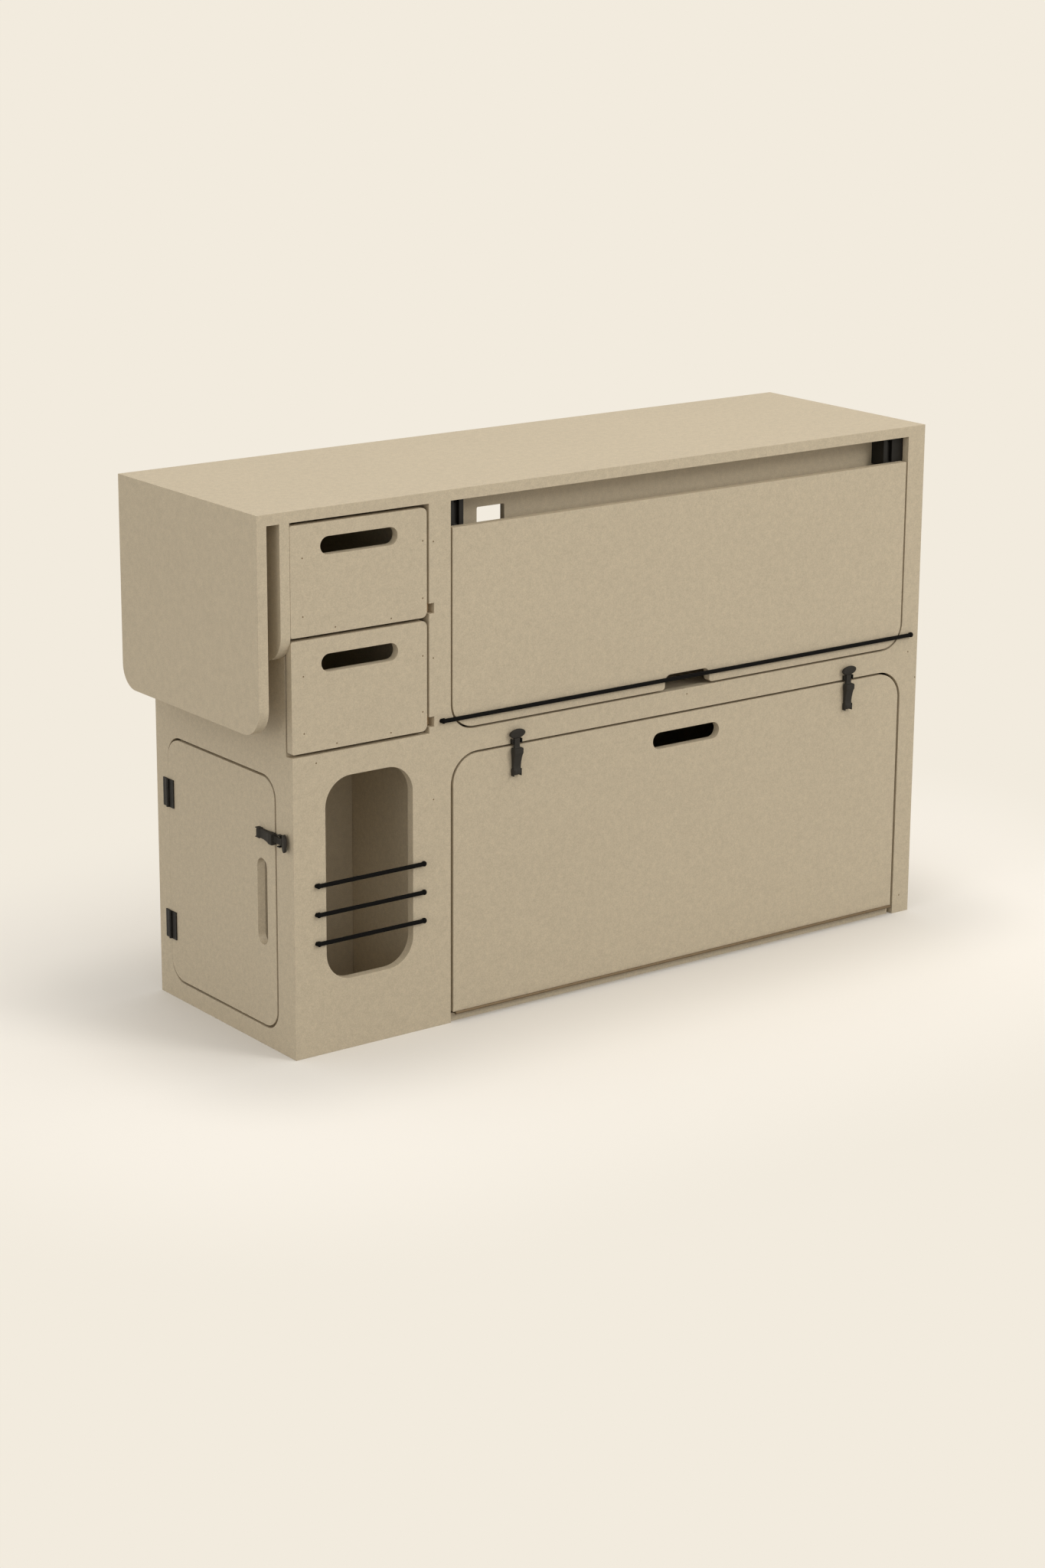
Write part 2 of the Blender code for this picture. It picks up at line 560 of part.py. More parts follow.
def build_inside(cabinet):
    """Floor, back, divider, shelves, the partition behind the cubby and the crossbar behind the flap."""
    tongue_left = OPENING_LEFT + SEAT
    tongue_right = OPENING_RIGHT - TONGUE_END_GAP
    floor = rounded([
        (INSIDE_LEFT, BEHIND_FRONT, 0),
        (tongue_left, BEHIND_FRONT, 0),
        (tongue_left, TONGUE_SETBACK, 0),
        (tongue_right, TONGUE_SETBACK, 0),
        (tongue_right, BEHIND_FRONT, 0),
        (INSIDE_RIGHT, BEHIND_FRONT, 0),
        (INSIDE_RIGHT, BEFORE_BACK, 0),
        (INSIDE_LEFT, BEFORE_BACK, 0),
    ])
    flat_board("bottom_panel", floor, 0, BOARD, SAND_LAMINATE, cabinet)

    back = rectangle(INSIDE_LEFT, 0, INSIDE_RIGHT, UNDER_TOP)
    opening = rectangle(BACK_OPENING_LEFT, BACK_OPENING_TOP - BACK_OPENING_HEIGHT,
                        BACK_OPENING_LEFT + BACK_OPENING_WIDTH, BACK_OPENING_TOP, BACK_OPENING_CORNER)
    front_board("back_panel", back, [opening], BACK_FACE, BACK_THICKNESS, SAND_LAMINATE, cabinet)

    crossbar = rectangle(DIVIDER_RIGHT + SEAT, CROSSBAR_BOTTOM, INSIDE_RIGHT, UNDER_TOP)
    cable_hole = rectangle(CABLE_HOLE_LEFT, CABLE_HOLE_TOP - CABLE_HOLE_SIZE,
                           CABLE_HOLE_LEFT + CABLE_HOLE_SIZE, CABLE_HOLE_TOP, CABLE_HOLE_CORNER)
    front_board("flap_crossbar", crossbar, [cable_hole], CROSSBAR_FACE, CROSSBAR_THICKNESS,
                SAND_LAMINATE, cabinet)

    divider = rounded([
        (DIVIDER_LEFT, ABOVE_FLOOR, 0),
        (DIVIDER_RIGHT, ABOVE_FLOOR, 0),
        (DIVIDER_RIGHT, UNDER_TOP, 0),
        (DIVIDER_LEFT, UNDER_TOP, 0),
        *groove_corners(DIVIDER_LEFT, RIGHT_GROOVE_DEPTH),
    ])
    front_board("middle_divider", divider, [], BEHIND_FRONT, BEFORE_BACK - BEHIND_FRONT,
                SAND_LAMINATE, cabinet)

    shelf_bottom = SHELF_TOP - BOARD
    box_piece("drawer_bay_floor", (INSIDE_LEFT, BEHIND_FRONT, shelf_bottom),
              (DIVIDER_LEFT - SEAT, BEFORE_BACK, SHELF_TOP), SAND_LAMINATE, cabinet)
    box_piece("main_shelf", (DIVIDER_RIGHT + SEAT, BEHIND_FRONT, shelf_bottom),
              (INSIDE_RIGHT, BEFORE_BACK, SHELF_TOP), SAND_LAMINATE, cabinet)
    box_piece("cubby_partition", (INSIDE_LEFT, CUBBY_DEPTH, ABOVE_FLOOR),
              (DIVIDER_LEFT - SEAT, CUBBY_DEPTH + BOARD, shelf_bottom - SEAT), SAND_LAMINATE, cabinet)


def build_drawer(name, bottom, height, cabinet):
    """A drawer on two wooden runners, which slide in grooves in the side panel and the divider."""
    drawer = new_empty(f"{name}_slide", (DRAWER_FRONT_WIDTH / 2, 0, bottom), cabinet)
    front = rounded([
        (0, bottom, DRAWER_LEFT_CORNER),
        (DRAWER_FRONT_WIDTH, bottom, DRAWER_RIGHT_CORNER),
        (DRAWER_FRONT_WIDTH, bottom + height, DRAWER_RIGHT_CORNER),
        (0, bottom + height, DRAWER_LEFT_CORNER),
    ])
    slot = hand_slot(DRAWER_FRONT_WIDTH / 2, bottom + HAND_SLOT_RISE, HAND_SLOT_LENGTH, HAND_SLOT_WIDTH)
    front_board(f"{name}_front", front, [slot], 0, BOARD, SAND_LAMINATE, drawer)

    base = bottom + BOX_RAISE
    rim = base + BOX_HEIGHT
    end = BOX_END
    outside_left = BOARD + BOX_LEFT_GAP
    outside_right = DIVIDER_LEFT - BOX_RIGHT_GAP
    within_left = outside_left + BOARD + SEAT
    within_right = outside_right - BOARD - SEAT
    box_piece(f"{name}_left_side", (outside_left, BEHIND_FRONT, base), (outside_left + BOARD, end, rim),
              SAND_LAMINATE, drawer)
    box_piece(f"{name}_right_side", (outside_right - BOARD, BEHIND_FRONT, base), (outside_right, end, rim),
              SAND_LAMINATE, drawer)
    box_piece(f"{name}_bottom", (within_left, BEHIND_FRONT, base), (within_right, end, base + BOARD),
              SAND_LAMINATE, drawer)
    box_piece(f"{name}_back", (within_left, end - BOARD, base + BOARD + SEAT), (within_right, end, rim),
              SAND_LAMINATE, drawer)

    runner_bottom = bottom + GROOVE_RISE + SEAT
    runner_top = runner_bottom + RUNNER_HEIGHT
    box_piece(f"{name}_left_runner",
              (BOARD - LEFT_GROOVE_DEPTH + RUNNER_END_GAP, BEHIND_FRONT, runner_bottom),
              (outside_left - SEAT, end, runner_top), BARE_BOARD, drawer)
    box_piece(f"{name}_right_runner", (outside_right + SEAT, BEHIND_FRONT, runner_bottom),
              (DIVIDER_LEFT + RIGHT_GROOVE_DEPTH - RUNNER_END_GAP, end, runner_top), BARE_BOARD, drawer)


def build_flap(cabinet):
    """The fold-up flap, with a finger notch in its bottom edge and an arm hinge at each top corner."""
    flap = new_empty("flap_hinge", FLAP_PIVOT, cabinet)
    left, right = OPENING_LEFT + FLAP_GAP, OPENING_RIGHT - FLAP_GAP
    bottom = RAIL_TOP + FLAP_GAP
    corner = FLAP_OPENING_CORNER - FLAP_GAP
    notch_left = OPENING_CENTRE - FINGER_NOTCH_WIDTH / 2
    notch_right = OPENING_CENTRE + FINGER_NOTCH_WIDTH / 2
    notch_top = bottom + FINGER_NOTCH_HEIGHT
    outer = rounded([
        (left, bottom, corner),
        (notch_left, bottom, FINGER_NOTCH_LIP_CORNER),
        (notch_left, notch_top, FINGER_NOTCH_TOP_CORNER),
        (notch_right, notch_top, FINGER_NOTCH_TOP_CORNER),
        (notch_right, bottom, FINGER_NOTCH_LIP_CORNER),
        (right, bottom, corner),
        (right, FLAP_TOP, 0),
        (left, FLAP_TOP, 0),
    ])
    front_board("flap_panel", outer, [], 0, BOARD, SAND_LAMINATE, flap)

    block_left = OPENING_LEFT + HINGE_BLOCK_REACH - HINGE_BLOCK_WIDTH - HINGE_SHIFT
    block_right = OPENING_RIGHT - HINGE_BLOCK_REACH - HINGE_SHIFT
    slot_inset = HINGE_BLOCK_WIDTH - HINGE_CHEEK - HINGE_SLOT_WIDTH
    build_flap_hinge("left", block_left, block_left + slot_inset, cabinet, flap)
    build_flap_hinge("right", block_right, block_right + HINGE_CHEEK, cabinet, flap)


def build_flap_hinge(side, block_left, slot_left, cabinet, flap):
    """A block under the worktop with a slot for the arm, the arm on the flap's back, and their pin."""
    block_right = block_left + HINGE_BLOCK_WIDTH
    slot_right = slot_left + HINGE_SLOT_WIDTH
    block_back = BEHIND_FRONT + HINGE_BLOCK_DEPTH
    slot_back = BEHIND_FRONT + HINGE_SLOT_DEPTH
    plan = rounded([
        (block_left, BEHIND_FRONT, 0), (slot_left, BEHIND_FRONT, 0), (slot_left, slot_back, 0),
        (slot_right, slot_back, 0), (slot_right, BEHIND_FRONT, 0), (block_right, BEHIND_FRONT, 0),
        (block_right, block_back, 0), (block_left, block_back, 0),
    ])
    block_bottom = UNDER_TOP - HINGE_BLOCK_HEIGHT
    block = flat_board(f"flap_hinge_block_{side}", plan, block_bottom, HINGE_BLOCK_HEIGHT,
                       BLACK_HINGE, cabinet)
    _, pivot_y, pivot_z = FLAP_PIVOT
    bore = rods_mesh("pivot_bore", [((block_left - OVERRUN, pivot_y, pivot_z - block_bottom),
                                     (block_right + OVERRUN, pivot_y, pivot_z - block_bottom))],
                     HINGE_PIN_RADIUS + SEAT, PIN_SIDES)
    shape(block, "pivot_bore", bore, "DIFFERENCE")

    foot_top = pivot_z - HINGE_FOOT_DROP
    foot_bottom = foot_top - HINGE_FOOT_HEIGHT
    eye = HINGE_EYE_RADIUS
    profile = rounded([
        (BEHIND_FRONT, foot_bottom, 0),
        (BEHIND_FRONT, foot_top, 0),
        (pivot_y - eye, pivot_z - HINGE_NECK_DROP, 0),
        (pivot_y - eye, pivot_z + eye, eye),
        (pivot_y + eye, pivot_z + eye, eye),
        (pivot_y + eye, pivot_z - HINGE_BACK_DROP, 0),
        (BEHIND_FRONT + HINGE_FOOT_THICKNESS, foot_bottom, 0),
    ])
    arm_width = HINGE_SLOT_WIDTH - 2 * SEAT
    arm = side_board(f"flap_hinge_arm_{side}", profile,
                     [round_hole(pivot_y, pivot_z, HINGE_PIN_RADIUS + SEAT)],
                     slot_left + SEAT, arm_width, BLACK_HINGE, flap)
    # In the arm's own coordinates x runs back, y runs up and z runs along the front.
    foot = boxes_mesh("foot", [((BEHIND_FRONT, foot_bottom, (arm_width - HINGE_FOOT_WIDTH) / 2),
                                (BEHIND_FRONT + HINGE_FOOT_THICKNESS, foot_top,
                                 (arm_width + HINGE_FOOT_WIDTH) / 2))])
    shape(arm, "foot", foot, "UNION")

    pin = rods_mesh(f"flap_hinge_pin_{side}", [((block_left, 0, 0), (block_right, 0, 0))],
                    HINGE_PIN_RADIUS, PIN_SIDES)
    new_piece(f"flap_hinge_pin_{side}", pin, BLACK_HINGE, cabinet, (0, pivot_y, pivot_z))


def hinge_leaf(name, length, knuckles, first, reach, level, thickness, radii, material, carrier,
               place, turn):
    """A hinge leaf whose axis is its own z, with its plate along x at a level beside the axis.

    The two leaves of a hinge take every other knuckle, and first says where this one starts.
    """
    barrel_radius, bore_radius = radii
    pitch = length / knuckles
    plate_start = barrel_radius + KNUCKLE_GAP
    high = level + thickness
    leaf = new_piece(name, boxes_mesh(name, [((plate_start, level, 0), (reach, high, length))]),
                     material, carrier, place, turn)
    spans = [(index * pitch + KNUCKLE_GAP / 2, (index + 1) * pitch - KNUCKLE_GAP / 2)
             for index in range(first, knuckles, 2)]
    tab_start = (barrel_radius + bore_radius) / 2
    tabs = [((tab_start, level, low), (plate_start + KNUCKLE_GAP, high, top)) for low, top in spans]
    shape(leaf, "tabs", boxes_mesh("tabs", tabs), "UNION")
    barrel = [((0, 0, low), (0, 0, top)) for low, top in spans]
    shape(leaf, "knuckles", rods_mesh("knuckles", barrel, barrel_radius, BARREL_SIDES), "UNION")
    bore = [((0, 0, -OVERRUN), (0, 0, length + OVERRUN))]
    shape(leaf, "bore", rods_mesh("bore", bore, bore_radius, BORE_SIDES), "DIFFERENCE")
    return leaf


def build_lower_door(cabinet):
    """The drop-down door, its two strap latches, and the hinge along its bottom edge."""
    door = new_empty("lower_door_hinge", PIANO_AXIS, cabinet)
    corner = LOWER_OPENING_CORNER - LOWER_DOOR_SIDE_GAP
    outer = rounded([
        (LOWER_DOOR_LEFT, LOWER_DOOR_BOTTOM, 0),
        (LOWER_DOOR_RIGHT, LOWER_DOOR_BOTTOM, 0),
        (LOWER_DOOR_RIGHT, LOWER_DOOR_TOP, corner),
        (LOWER_DOOR_LEFT, LOWER_DOOR_TOP, corner),
    ])
    slot = hand_slot(OPENING_CENTRE, LOWER_DOOR_TOP - DOOR_SLOT_DROP, HAND_SLOT_LENGTH, HAND_SLOT_WIDTH)
    front_board("lower_door_panel", outer, [slot], 0, BOARD, SAND_LAMINATE, door)

    # The leaves' own z runs along the front, their x runs back and their y runs up.
    start = (LOWER_DOOR_LEFT + PIANO_END_GAP, PIANO_AXIS[1], PIANO_AXIS[2])
    length = LOWER_DOOR_RIGHT - LOWER_DOOR_LEFT - 2 * PIANO_END_GAP
    reach = PIANO_AXIS_PROUD + LEAF_WIDTH
    radii = (PIANO_BARREL_RADIUS, PIANO_BORE_RADIUS)
    hinge_leaf("piano_hinge_fixed_leaf", length, PIANO_KNUCKLES, 0, reach, -LEAF_GAP / 2 - LEAF_THICKNESS,
               LEAF_THICKNESS, radii, BRONZE_HINGE, cabinet, start, ALONG_SIDE)
    hinge_leaf("piano_hinge_door_leaf", length, PIANO_KNUCKLES, 1, reach, LEAF_GAP / 2,
               LEAF_THICKNESS, radii, BRONZE_HINGE, door, start, ALONG_SIDE)
    pin = rods_mesh("piano_hinge_pin", [((0, 0, 0), (length, 0, 0))], PIANO_BORE_RADIUS - SEAT, BORE_SIDES)
    new_piece("piano_hinge_pin", pin, BRONZE_HINGE, cabinet, start)

    pivot_z = LOWER_DOOR_TOP - LATCH_PIVOT_DROP
    places = (("left", LOWER_DOOR_LEFT + LATCH_INSET), ("right", LOWER_DOOR_RIGHT - LATCH_INSET))
    for side, pivot_x in places:
        pivot = (pivot_x, -LATCH_PIVOT_PROUD, pivot_z)
        build_latch(f"door_latch_{side}", pivot, (0, 0, 0), 0, door, cabinet)


def build_side_door(cabinet):
    """The side door, with its finger slot, its strap latch and its two butt hinges."""
    door = new_empty("side_door_hinge", SIDE_AXIS, cabinet)
    outer = rectangle(SIDE_DOOR_FRONT, SIDE_DOOR_BOTTOM, SIDE_DOOR_BACK, SIDE_DOOR_TOP,
                      SIDE_OPENING_CORNER - SIDE_DOOR_GAP)
    slot = hand_slot(SIDE_DOOR_FRONT + SIDE_SLOT_FRONT, SIDE_DOOR_BOTTOM + SIDE_SLOT_RISE,
                     HAND_SLOT_WIDTH, HAND_SLOT_LENGTH)
    side_board("side_door_panel", outer, [slot], 0, BOARD, SAND_LAMINATE, door)

    # A leaf's plate lies on the outer face. Its own y runs towards the panel on the fixed leaf, whose
    # x runs back; the door's leaf is turned half round its x, so that its plate runs to the front.
    radii = (SIDE_BARREL_RADIUS, SIDE_BORE_RADIUS)
    level = SIDE_BARREL_RADIUS - SEAT - SIDE_LEAF_THICKNESS
    for label, rise in zip(("lower", "upper"), SIDE_HINGE_RISES):
        top = SIDE_DOOR_BOTTOM + rise + SIDE_HINGE_HEIGHT / 2
        bottom = top - SIDE_HINGE_HEIGHT
        hinge_leaf(f"side_hinge_{label}_fixed_leaf", SIDE_HINGE_HEIGHT, SIDE_KNUCKLES, 0, SIDE_LEAF_REACH,
                   level, SIDE_LEAF_THICKNESS, radii, BLACK_HINGE, cabinet,
                   (SIDE_AXIS[0], SIDE_AXIS[1], top), (math.radians(180), 0, math.radians(90)))
        hinge_leaf(f"side_hinge_{label}_door_leaf", SIDE_HINGE_HEIGHT, SIDE_KNUCKLES, 1, SIDE_LEAF_REACH,
                   level, SIDE_LEAF_THICKNESS, radii, BLACK_HINGE, door,
                   (SIDE_AXIS[0], SIDE_AXIS[1], bottom), (0, 0, math.radians(-90)))
        pin = rods_mesh(f"side_hinge_{label}_pin", [((0, 0, 0), (0, 0, SIDE_HINGE_HEIGHT))],
                        SIDE_BORE_RADIUS - SEAT, BORE_SIDES)
        new_piece(f"side_hinge_{label}_pin", pin, STEEL, cabinet, (SIDE_AXIS[0], SIDE_AXIS[1], bottom))

    pivot = (-LATCH_PIVOT_PROUD, SIDE_DOOR_FRONT + SIDE_LATCH_BACK, SIDE_DOOR_BOTTOM + SIDE_LATCH_RISE)
    turn = (math.radians(90), math.radians(90), 0)
    build_latch("side_latch", pivot, turn, SIDE_LATCH_STRETCH, door, cabinet)


def build_latch(name, pivot, turn, stretch, door, cabinet):
    """A rubber strap that turns on its bracket's pin; its neck drops into the keeper's fork.

    In its own coordinates the latch stands on a face at y = LATCH_PIVOT_PROUD, reaches out along -y,
    and its strap runs up z from the pin at the origin.
    """
    face = LATCH_PIVOT_PROUD
    plate_back, plate_front = face - SEAT, face - SEAT - LATCH_PLATE_THICKNESS
    half_base = STRAP_BASE_WIDTH / 2
    ear_in = half_base + LATCH_EAR_GAP
    ear_out = ear_in + LATCH_EAR_THICKNESS
    half_plate = LATCH_PLATE_HEIGHT / 2

    plate = boxes_mesh(f"{name}_bracket", [((-ear_out, plate_front, -half_plate),
                                            (ear_out, plate_back, half_plate))])
    bracket = new_piece(f"{name}_bracket", plate, BLACK_HINGE, door, pivot, turn)
    ears = [((ear_in, -LATCH_EAR_FRONT, -half_plate), (ear_out, plate_back, half_plate)),
            ((-ear_out, -LATCH_EAR_FRONT, -half_plate), (-ear_in, plate_back, half_plate))]
    shape(bracket, "ears", boxes_mesh("ears", ears), "UNION")
    middle_of_ear = (ear_in + ear_out) / 2
    pin = rods_mesh("pin", [((-middle_of_ear, 0, 0), (middle_of_ear, 0, 0))], LATCH_PIN_RADIUS, BORE_SIDES)
    shape(bracket, "pin", pin, "UNION")

    hub = new_empty(f"{name}_pivot", pivot, door)
    build_strap(f"{name}_strap", face, pivot, turn, stretch, hub)

    prong_out = KEEPER_WIDTH / 2
    prong_in = prong_out - KEEPER_PRONG
    keeper_low = KEEPER_RISE + stretch
    plate = boxes_mesh(f"{name}_keeper", [((-prong_out, plate_front, keeper_low),
                                           (prong_out, plate_back, keeper_low + KEEPER_PLATE_HEIGHT))])
    keeper = new_piece(f"{name}_keeper", plate, BLACK_HINGE, cabinet, pivot, turn)
    prong_top = keeper_low + KEEPER_PRONG_HEIGHT
    prongs = [((prong_in, -KEEPER_PRONG_FRONT, keeper_low), (prong_out, plate_back, prong_top)),
              ((-prong_out, -KEEPER_PRONG_FRONT, keeper_low), (-prong_in, plate_back, prong_top))]
    shape(keeper, "prongs", boxes_mesh("prongs", prongs), "UNION")


def build_strap(name, face, pivot, turn, stretch, hub):
    """The strap's wedge body, eye, neck and oval head, joined, with the pin's bore cut through."""
    half_body = STRAP_BODY_WIDTH / 2
    body_back = face - STRAP_CLEARANCE
    above_plate = LATCH_PLATE_HEIGHT / 2 + SEAT
    shoulder = STRAP_BODY_LENGTH + stretch
    # Seen from the side: the eye round the pin, then a wedge that grows towards the shoulder.
    profile = rounded([
        (STRAP_EYE_RADIUS, -STRAP_EYE_RADIUS, STRAP_EYE_RADIUS),
        (STRAP_EYE_RADIUS, above_plate, 0),
        (body_back, STRAP_THIN_LENGTH, 0),
        (body_back, shoulder, 0),
        (-STRAP_PROUD, shoulder, 0),
        (STRAP_THIN_SETBACK, STRAP_THIN_LENGTH, 0),
        (-STRAP_EYE_RADIUS, STRAP_EYE_RADIUS, 0),
        (-STRAP_EYE_RADIUS, -STRAP_EYE_RADIUS, STRAP_EYE_RADIUS),
    ])
    mesh = outline_mesh(name, profile, [], STRAP_BODY_WIDTH)
    # The outline's (a, b) become (y, z), its thickness runs along x, centred on the strap.
    stand = Matrix.Translation((-half_body, 0, 0)) @ Matrix(((0, 0, 1, 0), (1, 0, 0, 0), (0, 1, 0, 0),
                                                            (0, 0, 0, 1)))
    mesh.transform(stand)
    strap = new_piece(name, mesh, BLACK_RUBBER, hub, pivot, turn)

    half_base = STRAP_BASE_WIDTH / 2
    base = STRAP_BASE_LENGTH
    waists = [((half_base, -face, -base), (half_body + OVERRUN, face, base)),
              ((-half_body - OVERRUN, -face, -base), (-half_base, face, base))]
    shape(strap, "waist", boxes_mesh("waist", waists), "DIFFERENCE")
    half_neck = STRAP_NECK_WIDTH / 2
    neck = boxes_mesh("neck", [((-half_neck, -STRAP_NECK_FRONT, shoulder - OVERRUN),
                                (half_neck, STRAP_NECK_BACK, STRAP_HEAD_RISE + stretch))])
    shape(strap, "neck", neck, "UNION")
    radii = (STRAP_HEAD_WIDTH / 2, STRAP_HEAD_DEPTH / 2, STRAP_HEAD_HEIGHT / 2)
    head = balls_mesh("head", [(0, 0, STRAP_HEAD_RISE + stretch)], radii, HEAD_SEGMENTS, HEAD_RINGS)
    shape(strap, "head", head, "UNION")
    bore = rods_mesh("bore", [((-half_body - OVERRUN, 0, 0), (half_body + OVERRUN, 0, 0))],
                     STRAP_BORE_RADIUS, BORE_SIDES)
    shape(strap, "bore", bore, "DIFFERENCE")


def build_cord(name, left, right, height, cabinet):
    """An elastic cord along the front, whose ends go back through the panel to a knot."""
    knot = BEHIND_FRONT + CORD_KNOT_RADIUS
    half = [(left, knot + CORD_TAIL, 1), (left, knot + CORD_KNOT_RADIUS, 1),
            (left, knot, CORD_KNOT_RADIUS / CORD_RADIUS), (left, BEHIND_FRONT, 1)]
    for step in range(CORD_BEND_STEPS + 1):
        angle = math.radians(90) * step / CORD_BEND_STEPS
        half.append((left + CORD_BEND * (1 - math.cos(angle)), -CORD_BEND * math.sin(angle), 1))
    mirrored = [(left + right - x, y, share) for x, y, share in reversed(half)]
    route = half + mirrored
    curve = bpy.data.curves.new(name, "CURVE")
    curve.dimensions = "3D"
    curve.bevel_depth = CORD_RADIUS
    curve.bevel_resolution = CORD_SIDE_RESOLUTION
    curve.use_fill_caps = True
    spline = curve.splines.new("POLY")
    spline.points.add(len(route) - 1)
    for point, (x, y, share) in zip(spline.points, route):
        point.co = (x, y, height, 1)
        point.radius = share
    cord = new_piece(name, welded_mesh(name, curve, Matrix.Identity(4)), ELASTIC_CORD, cabinet)
    beads = [(x, -CORD_KNOB_RADIUS - SEAT, height) for x in (left, right)]
    shape(cord, "beads", balls_mesh("beads", beads, (CORD_KNOB_RADIUS,) * 3, BEAD_SEGMENTS, BEAD_RINGS),
          "UNION")


def build_unit():
    middle = ((LENGTH - OVERHANG) / 2, (DEPTH - LATCH_REACH) / 2, 0)
    cabinet = new_empty("cabinet", (0, 0, 0))
    cabinet.location = -Vector(middle)
    build_front_panel(cabinet)
    build_side_panels(cabinet)
    build_overhang(cabinet)
    build_inside(cabinet)
    build_drawer("drawer_upper", UPPER_DRAWER_BOTTOM, UPPER_FRONT_HEIGHT, cabinet)
    build_drawer("drawer_lower", LOWER_DRAWER_BOTTOM, LOWER_FRONT_HEIGHT, cabinet)
    build_flap(cabinet)
    build_lower_door(cabinet)
    build_side_door(cabinet)
    for label, height in zip(("lower", "middle", "upper"), ARCH_CORD_HEIGHTS):
        build_cord(f"cubby_cord_{label}", ARCH_CORD_LEFT, ARCH_CORD_RIGHT, height, cabinet)
    build_cord("flap_cord", FLAP_CORD_LEFT, FLAP_CORD_RIGHT, FLAP_CORD_HEIGHT, cabinet)
    bpy.context.view_layer.update()


build_unit()
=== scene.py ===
# Campervan side unit: the finish, small fittings, floor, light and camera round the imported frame.
import json
import math

import bmesh
import bpy
import numpy as np
from mathutils import Matrix, Vector

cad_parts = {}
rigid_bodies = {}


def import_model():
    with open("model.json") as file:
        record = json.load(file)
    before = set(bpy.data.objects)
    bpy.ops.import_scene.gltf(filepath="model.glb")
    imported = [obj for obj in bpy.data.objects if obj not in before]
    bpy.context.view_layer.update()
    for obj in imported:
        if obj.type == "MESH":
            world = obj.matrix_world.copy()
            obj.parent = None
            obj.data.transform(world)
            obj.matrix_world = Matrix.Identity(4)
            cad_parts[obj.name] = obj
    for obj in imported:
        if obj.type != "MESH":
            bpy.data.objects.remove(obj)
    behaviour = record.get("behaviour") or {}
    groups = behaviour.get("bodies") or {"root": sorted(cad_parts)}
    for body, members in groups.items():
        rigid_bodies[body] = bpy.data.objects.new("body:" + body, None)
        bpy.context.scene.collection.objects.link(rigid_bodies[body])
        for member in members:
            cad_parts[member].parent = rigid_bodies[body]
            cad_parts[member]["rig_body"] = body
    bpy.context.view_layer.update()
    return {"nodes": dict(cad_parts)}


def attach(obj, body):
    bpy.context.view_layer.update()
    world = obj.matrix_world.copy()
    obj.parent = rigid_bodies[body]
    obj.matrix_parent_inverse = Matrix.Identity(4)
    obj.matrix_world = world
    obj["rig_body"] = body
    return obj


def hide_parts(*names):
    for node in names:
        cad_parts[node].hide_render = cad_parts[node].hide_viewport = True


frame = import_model()
cadNodes = frame["nodes"]
scene = bpy.context.scene
scene.view_settings.view_transform = "Standard"
mm = 0.001
footCorner = np.array((-0.52325, -0.16725, 0.0))  # the lower cabinet's left front foot, in the scene


# Camera, as the photo was taken
cameraSettings = {
    "place": (-2.787735, -3.697367, 1.593235),
    "yaw": 0.6333,
    "pitch": -0.2652,
    "roll": 0.0038,
    "sensor": 36.0,
    "lens": 77.398,
    "shift": (0.016261, -0.035279),
    "farthest": 200,
}


def makeCamera(settings):
    yaw, pitch, roll = settings["yaw"], settings["pitch"], settings["roll"]
    forward = Vector((math.sin(yaw) * math.cos(pitch), math.cos(yaw) * math.cos(pitch), math.sin(pitch)))
    right = forward.cross(Vector((0, 0, 1))).normalized()
    up = right.cross(forward)
    right = right * math.cos(roll) + up * math.sin(roll)
    up = right.cross(forward)
    data = bpy.data.cameras.new("photoCamera")
    data.sensor_width = settings["sensor"]
    data.lens = settings["lens"]
    data.shift_x, data.shift_y = settings["shift"]
    data.clip_end = settings["farthest"]
    camera = bpy.data.objects.new("photoCamera", data)
    turn = Matrix((right, up, -forward)).transposed().to_4x4()
    camera.matrix_world = Matrix.Translation(settings["place"]) @ turn
    scene.collection.objects.link(camera)
    scene.camera = camera


makeCamera(cameraSettings)
print("camera placed")


# Node helpers
noiseLow, noiseHigh = 0.3, 0.7  # where most of a noise lies


def linear(colour):
    # sRGB 0..255 to linear: ((c + 0.055) / 1.055) ** 2.4, or c / 12.92 near black
    c = np.asarray(colour, float) / 255
    return tuple(np.where(c <= 0.04045, c / 12.92, ((c + 0.055) / 1.055) ** 2.4).tolist())


def addNode(tree, kind, inputs=None, **settings):
    node = tree.nodes.new(kind)
    for name, value in settings.items():
        setattr(node, name, value)
    for name, value in (inputs or {}).items():
        if isinstance(value, bpy.types.NodeSocket):
            tree.links.new(value, node.inputs[name])
        else:
            node.inputs[name].default_value = value
    return node


def calc(tree, operation, *values):
    return addNode(tree, "ShaderNodeMath", dict(enumerate(values)), operation=operation).outputs[0]


def spread(tree, value, low, high, fromLow, fromHigh, way="LINEAR"):
    # low + (value - fromLow) / (fromHigh - fromLow) * (high - low), kept between low and high
    return addNode(tree, "ShaderNodeMapRange", {
        "Value": value, "From Min": fromLow, "From Max": fromHigh, "To Min": low, "To Max": high,
    }, interpolation_type=way).outputs["Result"]


def layer(tree, vector, settings):
    # a noise, and the factor from 1 - depth to 1 + depth that it gives
    value = addNode(tree, "ShaderNodeTexNoise", {
        "Vector": vector, "Scale": settings["scale"], "Detail": settings.get("detail", 2),
        "Roughness": settings.get("rough", 0.5),
    }).outputs["Fac"]
    return value, spread(tree, value, 1 - settings["depth"], 1 + settings["depth"], noiseLow, noiseHigh)


